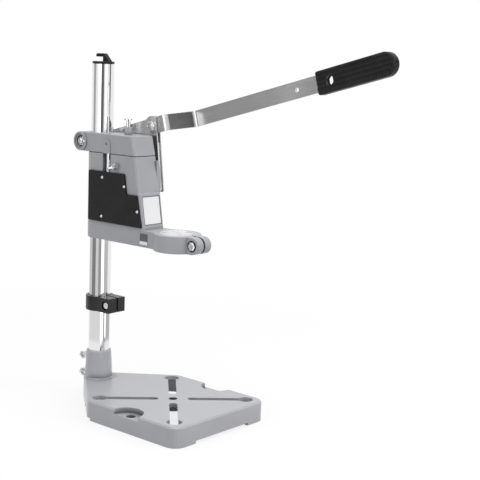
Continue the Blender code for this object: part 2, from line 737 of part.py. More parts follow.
def add_ribs(base):
    """Two ribs and a boss under the plate, crossing below the drill axis."""
    low = BASE_HEIGHT - BASE_PLATE - RIB_DEPTH
    high = BASE_HEIGHT - BASE_PLATE / 2
    half = RIB_THICKNESS / 2
    reach = BASE_HALF_WIDTH - LEDGE_RADIUS - LEDGE_WALL / 2
    unite(base, rod(CENTRE_HOLE_DIAMETER / 2 + CENTRE_BOSS_WALL, low, high, (0, -DRILL_OFFSET)))
    unite(base, box((-half, -BASE_FRONT + BASE_WALL / 2, low), (half, -SOCKET_FOOT_RADIUS / 2, high)))
    unite(base, box((-reach, -DRILL_OFFSET - half, low), (reach, -DRILL_OFFSET + half, high)))


def cut_base_openings(base):
    """Column seat, centre hole, diagonal slots, bolt holes and the reliefs between the feet."""
    above = BASE_HEIGHT + CUT_OVERRUN
    cut(base, rod(COLUMN_RADIUS + FIT_GAP, SOCKET_FLOOR, SOCKET_TOP + CUT_OVERRUN, sides=ROUND_SIDES))
    cut(base, rod(CENTRE_HOLE_DIAMETER / 2, 0, above, (0, -DRILL_OFFSET)))
    for turn in (45, 135, 225, 315):
        cut(base, prism(slot_outline(math.radians(turn)), FOOT_HEIGHT, above))
    for height in SOCKET_BOLT_HEIGHTS:
        cut(base, rod(SOCKET_BOLT_DIAMETER / 2 + FIT_GAP, 0, SOCKET_PAD_REACH + CUT_OVERRUN, (0, height),
                      "Y", SMALL_SIDES))
    front_cut_back = -BASE_FRONT + BASE_WALL + CUT_OVERRUN
    cut(base, box((-FRONT_RELIEF_HALF, -BASE_FRONT - CUT_OVERRUN, -CUT_OVERRUN),
                  (FRONT_RELIEF_HALF, front_cut_back, FOOT_HEIGHT)))
    cut(base, box((-BASE_HALF_WIDTH - CUT_OVERRUN, -REAR_RELIEF_FRONT, -CUT_OVERRUN),
                  (BASE_HALF_WIDTH + CUT_OVERRUN, -REAR_RELIEF_BACK, FOOT_HEIGHT)))


def build_base(finishes):
    outline = base_outline()
    slab = soft_slab(outline, edge_levels(0, BASE_HEIGHT, BASE_EDGE, steps=1))
    base = add_object("base_casting", slab, finishes["cast"], None)
    cut(base, prism(inset(outline, BASE_WALL), -CUT_OVERRUN, BASE_HEIGHT - BASE_PLATE))
    add_socket(base)
    add_bench_ledges(base)
    add_ribs(base)
    cut_base_openings(base)


def build_socket_bolts(finishes):
    tip = COLUMN_RADIUS + FIT_GAP
    seat = SOCKET_PAD_REACH + SOCKET_BOLT_STANDOFF
    for name, height in zip(("socket_bolt_lower", "socket_bolt_upper"), SOCKET_BOLT_HEIGHTS):
        mesh = hex_bolt(SOCKET_BOLT_DIAMETER / 2, SOCKET_BOLT_FLATS, seat, SOCKET_BOLT_HEAD, tip,
                        (0, height), "Y", SMALL_SIDES)
        add_object(name, mesh, finishes["zinc"], None)


# Column
def build_column(finishes):
    mesh = sleeve(COLUMN_BORE_RADIUS, COLUMN_RADIUS, SOCKET_FLOOR + FIT_GAP, COLUMN_TOP, sides=ROUND_SIDES)
    add_object("column_tube", mesh, finishes["chrome"], None)


def build_column_cap(finishes):
    """Push-in plug with a flange and a small open hook for the cable."""
    seat = COLUMN_TOP + FIT_GAP
    top = seat + CAP_FLANGE_THICKNESS
    plug = COLUMN_BORE_RADIUS - FIT_GAP
    levels = [(circle(plug - CAP_EDGE, ROUND_SIDES), seat - CAP_PLUG_DEPTH),
              (circle(plug, ROUND_SIDES), seat - CAP_PLUG_DEPTH + CAP_EDGE),
              (circle(plug, ROUND_SIDES), seat), (circle(COLUMN_RADIUS, ROUND_SIDES), seat),
              (circle(COLUMN_RADIUS, ROUND_SIDES), top - CAP_EDGE),
              (circle(COLUMN_RADIUS - CAP_EDGE, ROUND_SIDES), top)]
    cap = add_object("column_cap", stacked(levels, (0, 0), "Z"), finishes["black"], None)
    outline = [(-HOOK_FRONT + u * HOOK_LENGTH, top + v * HOOK_HEIGHT) for u, v in HOOK_OUTLINE_SHARES]
    unite(cap, prism(outline, -HOOK_THICKNESS / 2, HOOK_THICKNESS / 2, "X"))


# Stop collar
def collar_outline():
    """Plan of the collar: a ring round the column that runs into two clamp lugs."""
    side = math.degrees(math.acos(COLLAR_HALF_WIDTH / COLLAR_RADIUS))
    back = arc((0, 0), COLLAR_RADIUS, -side, 180 + side, COLLAR_STEPS)
    return back + [(-COLLAR_HALF_WIDTH, -COLLAR_FRONT), (COLLAR_HALF_WIDTH, -COLLAR_FRONT)]


def build_stop_collar(finishes, pivot):
    low = COLLAR_BOTTOM
    high = COLLAR_BOTTOM + COLLAR_HEIGHT
    below = low - CUT_OVERRUN
    above = high + CUT_OVERRUN
    collar = add_object("stop_collar", prism(collar_outline(), low, high), finishes["black"], pivot)
    soften(collar, COLLAR_EDGE)
    cut(collar, rod(HEAD_BORE_RADIUS, below, above, sides=ROUND_SIDES))
    half_slit = COLLAR_SLIT / 2
    cut(collar, box((COLLAR_SLIT_SIDE - half_slit, -COLLAR_FRONT - CUT_OVERRUN, below),
                    (COLLAR_SLIT_SIDE + half_slit, -COLUMN_RADIUS / 2, above)))
    hole = COLLAR_SCREW_DIAMETER / 2 + FIT_GAP
    centre = (-COLLAR_SCREW_OFFSET, (low + high) / 2)
    outside = COLLAR_HALF_WIDTH + CUT_OVERRUN
    cut(collar, rod(hole, -outside, outside, centre, "X"))
    recess = hexagon(COLLAR_RECESS_FLATS, SMALL_SIDES, 30)
    recess_floor = -COLLAR_HALF_WIDTH + COLLAR_SCREW_SINK + COLLAR_SCREW_HEAD + FIT_GAP
    cut(collar, stacked([(recess, -outside), (recess, recess_floor)], centre, "X"))
    nut_pocket = hexagon(COLLAR_NUT_FLATS + 2 * FIT_GAP, SMALL_SIDES)
    nut_floor = COLLAR_HALF_WIDTH - COLLAR_NUT_THICKNESS - FIT_GAP
    cut(collar, stacked([(nut_pocket, nut_floor), (nut_pocket, outside)], centre, "X"))
    half_wide = COLLAR_POCKET_WIDTH / 2
    half_long = COLLAR_POCKET_LENGTH / 2
    for side, ahead in COLLAR_POCKETS:
        cut(collar, box((side - half_wide, -ahead - half_long, high - COLLAR_POCKET_DEPTH),
                        (side + half_wide, -ahead + half_long, above)))


def build_collar_screw(finishes, pivot):
    centre = (-COLLAR_SCREW_OFFSET, COLLAR_BOTTOM + COLLAR_HEIGHT / 2)
    outer = -COLLAR_HALF_WIDTH + COLLAR_SCREW_SINK
    seat = outer + COLLAR_SCREW_HEAD
    head = COLLAR_SCREW_HEAD_DIAMETER / 2
    shank = COLLAR_SCREW_DIAMETER / 2
    tip = COLLAR_HALF_WIDTH
    levels = [(circle(shank, MEDIUM_SIDES), tip), (circle(shank, MEDIUM_SIDES), seat),
              (circle(head, MEDIUM_SIDES), seat),
              (circle(head, MEDIUM_SIDES), outer + COLLAR_SCREW_ROUND),
              (circle(head - COLLAR_SCREW_ROUND, MEDIUM_SIDES), outer)]
    screw = add_object("stop_collar_screw", stacked(levels, centre, "X"), finishes["zinc"], pivot)
    key = hexagon(COLLAR_SCREW_KEY_FLATS, SMALL_SIDES)
    cut(screw, stacked([(key, outer - CUT_OVERRUN), (key, outer + COLLAR_SCREW_KEY_DEPTH)], centre, "X"))
    nut_low = COLLAR_HALF_WIDTH - COLLAR_NUT_THICKNESS
    nut = hex_nut(shank + FIT_GAP, COLLAR_NUT_FLATS, nut_low, COLLAR_HALF_WIDTH, centre, "X", SMALL_SIDES)
    add_object("stop_collar_nut", nut, finishes["zinc"], pivot)


# Upper bracket
def bracket_profile():
    """Side view of the bracket, as (y, z): round boss at the rear, sloping front."""
    boss = arc((FULCRUM_OFFSET, FULCRUM_HEIGHT), FULCRUM_BOSS_RADIUS, -90, 90, BRACKET_BOSS_STEPS)
    boss = [(y, min(max(z, BRACKET_BOTTOM), BRACKET_TOP)) for y, z in boss]
    return boss + [(-BRACKET_FRONT_TOP, BRACKET_TOP), (-BRACKET_FRONT_BOTTOM, BRACKET_BOTTOM)]


def bracket_block():
    """The profile extruded across the head, with its upright front corners marked for rounding."""
    mesh = prism(bracket_profile(), -HEAD_HALF_WIDTH, HEAD_HALF_WIDTH, "X")
    corners = []
    for edge in mesh.edges:
        first, second = edge.verts
        upright = abs(first.co.z - second.co.z) > (BRACKET_TOP - BRACKET_BOTTOM) / 2
        if upright and first.co.y < 0 and abs(first.co.x - second.co.x) < FIT_GAP:
            corners.append(edge)
    bmesh.ops.bevel(mesh, geom=corners, offset=HEAD_CORNER_RADIUS, segments=CORNER_STEPS, profile=0.5,
                    affect="EDGES", clamp_overlap=True)
    return mesh


def add_bracket_bosses(bracket):
    """Round fulcrum boss, arched pad over the guide pin, and the depth stop's boss."""
    reach = HEAD_HALF_WIDTH + FULCRUM_BOSS_PROUD
    fulcrum = (FULCRUM_OFFSET, FULCRUM_HEIGHT)
    unite(bracket, rod(FULCRUM_BOSS_RADIUS - HEAD_EDGE / 2, -reach, HEAD_HALF_WIDTH, fulcrum, "X", BOSS_SIDES,
                       HEAD_EDGE / 3))
    half = PAD_HALF_WIDTH
    pad = arc((-GUIDE_OFFSET, BRACKET_BOTTOM + PAD_ARC_RISE), half, 0, 180, PAD_STEPS)
    pad += [(-GUIDE_OFFSET - half, BRACKET_BOTTOM), (-GUIDE_OFFSET + half, BRACKET_BOTTOM)]
    unite(bracket, prism(pad, -HEAD_HALF_WIDTH - PAD_PROUD, -HEAD_HALF_WIDTH + 2 * HEAD_EDGE, "X"))
    unite(bracket, rod(DEPTH_BOSS_RADIUS, BRACKET_TOP - CUT_OVERRUN, DEPTH_BOSS_TOP, (0, -DEPTH_OFFSET),
                       edge=HEAD_EDGE / 3))


def cut_bracket_holes(bracket):
    """Column bore with its slit, and the holes for the bolt, rods, pins and spring."""
    below = BRACKET_BOTTOM - CUT_OVERRUN
    above = BRACKET_TOP + CUT_OVERRUN
    face = HEAD_HALF_WIDTH + FULCRUM_BOSS_PROUD
    outside = face + CUT_OVERRUN
    fulcrum = (FULCRUM_OFFSET, FULCRUM_HEIGHT)
    cut(bracket, rod(HEAD_BORE_RADIUS, below, above, sides=ROUND_SIDES))
    slit_end = FULCRUM_OFFSET + FULCRUM_BOSS_RADIUS + CUT_OVERRUN
    cut(bracket, box((-BRACKET_SLIT / 2, COLUMN_RADIUS / 2, below), (BRACKET_SLIT / 2, slit_end, above)))
    cut(bracket, rod(FULCRUM_BOLT_DIAMETER / 2 + FIT_GAP, -outside, outside, fulcrum, "X"))
    cut(bracket, rod(FULCRUM_STEP_RADIUS, -outside, -face + FULCRUM_STEP_DEPTH, fulcrum, "X"))
    cut(bracket, rod(FULCRUM_NUT_RECESS_RADIUS, -outside, -face + FULCRUM_NUT_RECESS_DEPTH, fulcrum, "X"))
    cut(bracket, rod(DEPTH_ROD_DIAMETER / 2 + RUNNING_GAP, below, DEPTH_BOSS_TOP + CUT_OVERRUN,
                     (0, -DEPTH_OFFSET)))
    cut(bracket, rod(GUIDE_DIAMETER / 2 + FIT_GAP, below, GUIDE_TOP + FIT_GAP, (-GUIDE_SIDE, -GUIDE_OFFSET)))
    cut(bracket, rod(GUIDE_PIN_DIAMETER / 2 + FIT_GAP, -outside, -GUIDE_SIDE + GUIDE_PIN_REACH + FIT_GAP,
                     (-GUIDE_OFFSET, GUIDE_PIN_HEIGHT), "X", SMALL_SIDES))
    cut(bracket, rod(SPRING_BORE_RADIUS, below, BRACKET_TOP - SPRING_BORE_ROOF, (0, -SPRING_OFFSET)))
    far_end = -SPRING_BORE_RADIUS - SPRING_PIN_OVERHANG - FIT_GAP
    cut(bracket, rod(SPRING_PIN_DIAMETER / 2 + FIT_GAP, far_end, outside,
                     (-SPRING_OFFSET, SPRING_TOP_PIN_HEIGHT), "X", SMALL_SIDES))


def build_bracket(finishes, pivot):
    bracket = add_object("upper_bracket", bracket_block(), finishes["cast"], pivot)
    soften(bracket, HEAD_EDGE)
    add_bracket_bosses(bracket)
    cut_bracket_holes(bracket)


def build_fulcrum(finishes, pivot):
    """Bolt, nut, spacer and washer on which the lever turns."""
    fulcrum = (FULCRUM_OFFSET, FULCRUM_HEIGHT)
    radius = FULCRUM_BOLT_DIAMETER / 2
    bore = radius + FIT_GAP
    washer_low = LEVER_OUTER_FACE + FIT_GAP
    washer_high = washer_low + FULCRUM_WASHER_THICKNESS
    face = -HEAD_HALF_WIDTH - FULCRUM_BOSS_PROUD
    nut_high = face + FULCRUM_NUT_RECESS_DEPTH - FIT_GAP
    nut_low = nut_high - FULCRUM_NUT_THICKNESS
    bolt = hex_bolt(radius, FULCRUM_BOLT_FLATS, washer_high + FIT_GAP, FULCRUM_BOLT_HEAD, face, fulcrum, "X")
    add_object("fulcrum_bolt", bolt, finishes["zinc"], pivot)
    nut = hex_nut(bore, FULCRUM_BOLT_FLATS, nut_low, nut_high, fulcrum, "X")
    add_object("fulcrum_nut", nut, finishes["zinc"], pivot)
    spacer = sleeve(bore, FULCRUM_SPACER_RADIUS, HEAD_HALF_WIDTH + FIT_GAP, LEVER_INNER_FACE - FIT_GAP,
                    fulcrum, "X")
    add_object("fulcrum_spacer", spacer, finishes["steel"], pivot)
    washer = sleeve(bore, FULCRUM_WASHER_RADIUS, washer_low, washer_high, fulcrum, "X")
    add_object("fulcrum_washer", washer, finishes["zinc"], pivot)


def build_guide(finishes, pivot):
    centre = (-GUIDE_SIDE, -GUIDE_OFFSET)
    mesh = rod(GUIDE_DIAMETER / 2, GUIDE_TOP - GUIDE_LENGTH, GUIDE_TOP, centre, edge=HEAD_EDGE / 2)
    guide = add_object("guide_rod", mesh, finishes["chrome"], pivot)
    pin_centre = (-GUIDE_OFFSET, GUIDE_PIN_HEIGHT)
    low = -GUIDE_SIDE - GUIDE_DIAMETER
    high = -GUIDE_SIDE + GUIDE_DIAMETER
    cut(guide, rod(GUIDE_PIN_DIAMETER / 2 + FIT_GAP, low, high, pin_centre, "X", SMALL_SIDES))
    pin_low = -HEAD_HALF_WIDTH
    pin_high = -GUIDE_SIDE + GUIDE_PIN_REACH
    pin = rod(GUIDE_PIN_DIAMETER / 2, pin_low, pin_high, pin_centre, "X", SMALL_SIDES)
    add_object("guide_rod_pin", pin, finishes["steel"], pivot)


def spring_hook(height, turns):
    """Part of a turn round a cross pin, in the plane through the spring's axis."""
    reach = SPRING_PIN_DIAMETER / 2 + FIT_GAP + SPRING_WIRE_DIAMETER / 2
    return [(0, y, z) for y, z in arc((0, height), reach, turns[0], turns[1], SPRING_HOOK_POINTS)]


def spring_coils(low, high):
    """Centre line of the coils between two heights."""
    steps = SPRING_COILS * SPRING_POINTS_PER_COIL
    coils = []
    for step in range(steps + 1):
        angle = math.tau * step / SPRING_POINTS_PER_COIL
        coils.append((SPRING_RADIUS * math.sin(angle), SPRING_RADIUS * math.cos(angle),
                      low + (high - low) * step / steps))
    return coils


def build_spring(finishes, pivot):
    """Extension spring with a hook round a cross pin at each end, as one unbroken wire."""
    low = SPRING_BOTTOM_PIN_HEIGHT + SPRING_BOTTOM_LEAD
    high = SPRING_TOP_PIN_HEIGHT - SPRING_TOP_LEAD
    points = spring_hook(SPRING_BOTTOM_PIN_HEIGHT, SPRING_BOTTOM_HOOK) + spring_coils(low, high)
    points += spring_hook(SPRING_TOP_PIN_HEIGHT, SPRING_TOP_HOOK)
    curve = bpy.data.curves.new("return_spring", "CURVE")
    curve.dimensions = "3D"
    curve.bevel_depth = SPRING_WIRE_DIAMETER / 2
    curve.bevel_resolution = 1
    curve.use_fill_caps = True
    spline = curve.splines.new("POLY")
    spline.points.add(len(points) - 1)
    for place, (x, y, z) in zip(spline.points, points):
        place.co = (x, y - SPRING_OFFSET, z, 1)
    curve.materials.append(finishes["spring"])
    spring = bpy.data.objects.new("return_spring", curve)
    bpy.context.scene.collection.objects.link(spring)
    spring.parent = pivot
    spring.matrix_parent_inverse = pivot.matrix_world.inverted()
    gap = (high - low) / SPRING_COILS - SPRING_WIRE_DIAMETER
    print(f"return spring: least gap between coils {gap:.5f} m")


# Carriage
def carriage_section(front, amount, height):
    """Plan of the carriage at one height: flat sides, round back, rounded front corners."""
    back = arc((0, -HEAD_REAR_SHIFT), HEAD_HALF_WIDTH, 0, 180, CARRIAGE_BACK_STEPS)
    corners = [(-HEAD_HALF_WIDTH, -HEAD_REAR_SHIFT, 0), (-HEAD_HALF_WIDTH, -front, HEAD_CORNER_RADIUS),
               (HEAD_HALF_WIDTH, -front, HEAD_CORNER_RADIUS), (HEAD_HALF_WIDTH, -HEAD_REAR_SHIFT, 0)]
    outline = back + rounded(corners, closed=False)[1:-1]
    return [(x, y, height) for x, y in inset(outline, amount)]


def carriage_front(height):
    """How far the carriage's front stands out from the column's axis at a height."""
    line = ((CARRIAGE_BOTTOM, PANEL_FRONT_BOTTOM), (ARM_TOP, PANEL_FRONT_BOTTOM),
            (STEP_BOTTOM, PANEL_FRONT_TOP), (STEP_TOP, STEP_FRONT), (CARRIAGE_TOP, BRACKET_FRONT_BOTTOM))
    for (low, front_low), (high, front_high) in zip(line, line[1:]):
        if height <= high:
            return front_low + (front_high - front_low) * (height - low) / (high - low)
    return BRACKET_FRONT_BOTTOM


def carriage_body():
    levels = edge_levels(CARRIAGE_BOTTOM, CARRIAGE_TOP, HEAD_EDGE, HEAD_EDGE)
    levels += [(ARM_TOP, 0), (STEP_BOTTOM, 0), (STEP_TOP, 0)]
    levels.sort()
    return loft([carriage_section(carriage_front(height), amount, height) for height, amount in levels])


def ring_outline():
    """Plan of the arm and the ring around the drill axis."""
    reach = math.sqrt(RING_RADIUS ** 2 - HEAD_HALF_WIDTH ** 2)
    fillet_side = HEAD_HALF_WIDTH + RING_ARM_FILLET
    fillet_rise = math.sqrt((RING_RADIUS + RING_ARM_FILLET) ** 2 - fillet_side ** 2)
    touch = math.degrees(math.atan2(fillet_rise, fillet_side))
    outer = arc((0, -DRILL_OFFSET), RING_RADIUS, 180 - touch, 360 + touch, RING_STEPS)
    fillet_y = fillet_rise - DRILL_OFFSET
    left = arc((-fillet_side, fillet_y), RING_ARM_FILLET, 0, -touch, CORNER_STEPS)
    right = arc((fillet_side, fillet_y), RING_ARM_FILLET, 180 + touch, 180, CORNER_STEPS)
    root = -PANEL_FRONT_BOTTOM + reach / 2
    root_side = HEAD_HALF_WIDTH - HEAD_EDGE / 4
    return [(-root_side, root)] + left[:-1] + outer + right[1:] + [(root_side, root)]


def ear_outline():
    """Side view of the two clamp ears, as (y, z)."""
    points = arc((-EAR_CENTRE, EAR_HEIGHT), EAR_RADIUS - RING_EDGE / 3, 90, 270, EAR_STEPS)
    return points + [(-EAR_ROOT, CARRIAGE_BOTTOM + RING_EDGE / 3), (-EAR_ROOT, ARM_TOP - RING_EDGE / 3)]


def side_lug():
    """Lug on the carriage's right side that carries the link stud, tapered at its top."""
    inner = HEAD_HALF_WIDTH - HEAD_CORNER_RADIUS
    outer = LINK_INNER_FACE - FIT_GAP
    stud = link_stud_place()
    bottom = stud.y - LUG_BELOW
    top = stud.y + LUG_ABOVE
    outline = [(inner, bottom), (outer, bottom), (outer, stud.y + LUG_SHOULDER_ABOVE),
               (HEAD_HALF_WIDTH, top), (inner, top)]
    return prism(outline, stud.x - LUG_AHEAD, stud.x + LUG_BEHIND, "Y")


def panel_frame():
    """Middle of the label on the sloping front panel and the panel's tilt from upright."""
    middle = (ARM_TOP + STEP_BOTTOM) / 2 + LABEL_LIFT
    tilt = math.atan2(PANEL_SLOPE, PANEL_HEIGHT)
    return Matrix.Translation((0, -carriage_front(middle), middle)) @ Matrix.Rotation(-tilt, 4, "X")


def panel_plate(half_width, height, back, front):
    """A thin plate lying in the sloping front panel; distances run out of the panel."""
    half_height = height / 2
    outline = rounded([(-half_width, -half_height, LABEL_RECESS), (half_width, -half_height, LABEL_RECESS),
                       (half_width, half_height, LABEL_RECESS), (-half_width, half_height, LABEL_RECESS)],
                      COVER_CORNER_STEPS)
    mesh = prism(outline, -front, -back, "Y")
    bmesh.ops.transform(mesh, matrix=panel_frame(), verts=mesh.verts)
    return mesh


def cut_ring_clamp(carriage, low, high):
    """Bore of the clamp ring, the slit between its ears, and the clamp bolt's hole and recess."""
    ear = (-EAR_CENTRE, EAR_HEIGHT)
    outside = EAR_OUTER + CUT_OVERRUN
    cut(carriage, rod(RING_BORE_DIAMETER / 2, low, high, (0, -DRILL_OFFSET), sides=ROUND_SIDES))
    cut(carriage, box((-RING_SLIT / 2, -EAR_CENTRE - EAR_RADIUS - CUT_OVERRUN, low),
                      (RING_SLIT / 2, -DRILL_OFFSET - RING_BORE_DIAMETER / 4, high)))
    cut(carriage, rod(RING_BOLT_DIAMETER / 2 + FIT_GAP, -outside, outside, ear, "X"))
    cut(carriage, rod(EAR_RECESS_RADIUS, -outside, -EAR_OUTER + EAR_RECESS_DEPTH, ear, "X"))


def cut_carriage_bores(carriage, low, high):
    """Upright bores for the column, depth stop, guide rod and spring, with the guide's groove."""
    half_groove = GUIDE_GROOVE_WIDTH / 2
    groove_low = CARRIAGE_TOP - GUIDE_GROOVE_HEIGHT
    outside = -HEAD_HALF_WIDTH - CUT_OVERRUN
    spring_floor = SPRING_BOTTOM_PIN_HEIGHT - SPRING_BORE_FLOOR
    cut(carriage, rod(HEAD_BORE_RADIUS, low, high, sides=ROUND_SIDES))
    cut(carriage, rod(DEPTH_ROD_DIAMETER / 2 + RUNNING_GAP, low, high, (0, -DEPTH_OFFSET)))
    cut(carriage, rod(GUIDE_DIAMETER / 2 + RUNNING_GAP, low, high, (-GUIDE_SIDE, -GUIDE_OFFSET)))
    cut(carriage, box((outside, -GUIDE_OFFSET - half_groove, groove_low),
                      (-HEAD_HALF_WIDTH + GUIDE_GROOVE_DEPTH, -GUIDE_OFFSET + half_groove, high)))
    cut(carriage, rod(SPRING_BORE_RADIUS, spring_floor, high, (0, -SPRING_OFFSET)))
    cut(carriage, box((outside, -POCKET_FRONT, POCKET_BOTTOM),
                      (-HEAD_HALF_WIDTH + POCKET_DEPTH, -POCKET_BACK, POCKET_BOTTOM + POCKET_HEIGHT)))


def cut_carriage_screw_holes(carriage):
    """Holes from the sides for the wing screw, spring pin, link stud and cover screws."""
    outside = HEAD_HALF_WIDTH + CUT_OVERRUN
    cut(carriage, rod(WING_SHANK_DIAMETER / 2 + FIT_GAP, -outside, 0, (-DEPTH_OFFSET, WING_HEIGHT), "X",
                      SMALL_SIDES))
    far_end = -SPRING_BORE_RADIUS - SPRING_PIN_OVERHANG - FIT_GAP
    cut(carriage, rod(SPRING_PIN_DIAMETER / 2 + FIT_GAP, far_end, outside,
                      (-SPRING_OFFSET, SPRING_BOTTOM_PIN_HEIGHT), "X", SMALL_SIDES))
    cut(carriage, rod(LINK_STUD_DIAMETER / 2 + FIT_GAP, HEAD_HALF_WIDTH - LINK_STUD_DEPTH,
                      LINK_INNER_FACE + CUT_OVERRUN, link_stud_place(), "X", SMALL_SIDES))
    for place in cover_screw_places():
        cut(carriage, rod(COVER_SCREW_DIAMETER / 2 + FIT_GAP, -outside, -HEAD_HALF_WIDTH + COVER_SCREW_LENGTH,
                          place, "X", SMALL_SIDES))


def build_carriage(finishes, pivot):
    carriage = add_object("carriage", carriage_body(), finishes["cast"], pivot)
    unite(carriage, soft_slab(ring_outline(), edge_levels(CARRIAGE_BOTTOM, ARM_TOP, RING_EDGE, RING_EDGE)))
    unite(carriage, prism(ear_outline(), -EAR_OUTER, EAR_OUTER, "X"))
    unite(carriage, side_lug())
    low = CARRIAGE_BOTTOM - CUT_OVERRUN
    cut_carriage_bores(carriage, low, CARRIAGE_TOP + CUT_OVERRUN)
    cut_ring_clamp(carriage, low, ARM_TOP + CUT_OVERRUN)
    cut_carriage_screw_holes(carriage)
    cut(carriage, panel_plate(LABEL_HALF_WIDTH + LABEL_MARGIN / 2, LABEL_HEIGHT + LABEL_MARGIN,
                              -LABEL_RECESS, CUT_OVERRUN))


def build_ring_clamp(finishes, pivot):
    ear = (-EAR_CENTRE, EAR_HEIGHT)
    radius = RING_BOLT_DIAMETER / 2
    seat = -EAR_OUTER + EAR_RECESS_DEPTH - FIT_GAP
    nut_low = EAR_OUTER + FIT_GAP
    nut_high = nut_low + RING_NUT_THICKNESS
    bolt = hex_bolt(radius, RING_BOLT_FLATS, seat, -RING_BOLT_HEAD, nut_high + RING_BOLT_END, ear, "X")
    add_object("ring_clamp_bolt", bolt, finishes["zinc"], pivot)
    nut = hex_nut(radius + FIT_GAP, RING_BOLT_FLATS, nut_low, nut_high, ear, "X")
    add_object("ring_clamp_nut", nut, finishes["zinc"], pivot)


def build_spring_pins(finishes, head_pivot, carriage_pivot):
    radius = SPRING_PIN_DIAMETER / 2
    low = -SPRING_BORE_RADIUS - SPRING_PIN_OVERHANG
    high = HEAD_HALF_WIDTH - FIT_GAP
    for name, height, pivot in (("spring_pin_upper", SPRING_TOP_PIN_HEIGHT, head_pivot),
                                ("spring_pin_lower", SPRING_BOTTOM_PIN_HEIGHT, carriage_pivot)):
        pin = rod(radius, low, high, (-SPRING_OFFSET, height), "X", SMALL_SIDES)
        add_object(name, pin, finishes["steel"], pivot)


def cover_screw_places():
    """Centres of the four cover screws, as (y, z)."""
    return [(COVER_BACK - ahead, COVER_BOTTOM + up) for ahead, up in COVER_SCREW_PLACES]


def cover_outline():
    """Side view of the cover, as (y, z): tall behind, with a notch above its front part."""
    top = COVER_BOTTOM + COVER_HEIGHT
    notch = COVER_BOTTOM + COVER_NOTCH_RISE
    notch_front = COVER_FRONT_TOP + COVER_FRONT_SLOPE
    panel_top = notch_front + COVER_STEP
    panel_bottom = panel_top + COVER_PANEL_SLOPE
    places = ((COVER_BACK, COVER_BOTTOM), (COVER_BACK, top), (-COVER_FRONT_TOP, top), (-notch_front, notch),
              (-panel_top, notch), (-panel_bottom, COVER_BOTTOM))
    return rounded([(y, z, COVER_CORNER) for y, z in places], COVER_CORNER_STEPS)


def build_side_cover(finishes, pivot):
    inner = -HEAD_HALF_WIDTH - FIT_GAP
    outer = COVER_OUTER_FACE
    outline = cover_outline()
    levels = [(outline, inner), (outline, outer + COVER_EDGE), (inset(outline, COVER_EDGE), outer)]
    cover = add_object("side_cover", stacked(levels, (0, 0), "X"), finishes["black"], pivot)
    for place in cover_screw_places():
        cut(cover, rod(COVER_SCREW_DIAMETER / 2 + FIT_GAP, outer - CUT_OVERRUN, inner + CUT_OVERRUN, place,
                       "X", SMALL_SIDES))
        cut(cover, rod(COVER_SCREW_HOLE_RADIUS, outer - CUT_OVERRUN, outer + COVER_SCREW_SINK, place,
                       "X", SMALL_SIDES))


def build_cover_screws(finishes, pivot):
    seat = COVER_OUTER_FACE + COVER_SCREW_SINK - FIT_GAP
    top = seat - COVER_SCREW_HEAD
    floor = top + COVER_SCREW_SLOT_DEPTH
    shank = COVER_SCREW_DIAMETER / 2
    tip = -HEAD_HALF_WIDTH + COVER_SCREW_LENGTH - FIT_GAP
    half = COVER_SCREW_SLOT / 2
    reach = COVER_SCREW_SLOT_REACH
    levels = [(circle(shank / 2, SMALL_SIDES), tip), (circle(shank, SMALL_SIDES), tip - shank),
              (circle(shank, SMALL_SIDES), seat), (circle(COVER_SCREW_HEAD_RADIUS, SMALL_SIDES), seat),
              (circle(COVER_SCREW_HEAD_RADIUS, SMALL_SIDES), seat - COVER_SCREW_HEAD / 3),
              (circle(COVER_SCREW_HEAD_TOP_RADIUS, SMALL_SIDES), top)]
    for number, (y, z) in enumerate(cover_screw_places(), 1):
        screw = add_object(f"cover_screw_{number}", stacked(levels, (y, z), "X"), finishes["zinc"], pivot)
        cut(screw, box((top - CUT_OVERRUN, y - half, z - reach), (floor, y + half, z + reach)))


def build_labels(finishes, pivot):
    """A bare label in the front panel and a bare tag on the arm."""
    back = -LABEL_RECESS + FIT_GAP
    mesh = panel_plate(LABEL_HALF_WIDTH, LABEL_HEIGHT, back, back + LABEL_THICKNESS)
    add_object("front_label", mesh, finishes["label"], pivot)
    inner = -HEAD_HALF_WIDTH - TAG_GAP
    low = CARRIAGE_BOTTOM + TAG_RISE
    outline = rectangle(-TAG_BACK - TAG_LENGTH, -TAG_BACK, low, low + TAG_HEIGHT)
    add_object("arm_tag", prism(outline, inner - TAG_THICKNESS, inner, "X"), finishes["tag"], pivot)


# Depth stop
def build_depth_stop(finishes, pivot):
    rod_circle = circle(DEPTH_ROD_DIAMETER / 2, MEDIUM_SIDES)
    head_circle = circle(DEPTH_HEAD_RADIUS, MEDIUM_SIDES)
    low = DEPTH_HEAD_BOTTOM - DEPTH_ROD_LENGTH
    top = DEPTH_HEAD_BOTTOM + DEPTH_HEAD_THICKNESS
    edge = DEPTH_HEAD_THICKNESS / 4
    levels = [(inset(rod_circle, edge), low), (rod_circle, low + edge), (rod_circle, DEPTH_HEAD_BOTTOM),
              (head_circle, DEPTH_HEAD_BOTTOM), (head_circle, top - edge), (inset(head_circle, edge), top)]
    add_object("depth_stop_rod", stacked(levels, (0, -DEPTH_OFFSET), "Z"), finishes["chrome"], pivot)


def wing_mesh(side, start, depth):
    """One wing of the thumb screw, leaning out from its hub and turned about its axis."""
    half = WING_SPAN / 2
    outline = [(start - out * depth, -DEPTH_OFFSET + side * half * reach)
               for out, reach in WING_OUTLINE_SHARES]
    mesh = prism(outline, WING_HEIGHT - WING_THICKNESS / 2, WING_HEIGHT + WING_THICKNESS / 2)
    axis = Matrix.Translation((0, -DEPTH_OFFSET, WING_HEIGHT))
    spin = axis @ Matrix.Rotation(-WING_TURN, 4, "X") @ axis.inverted()
    bmesh.ops.transform(mesh, matrix=spin, verts=mesh.verts)
    return mesh


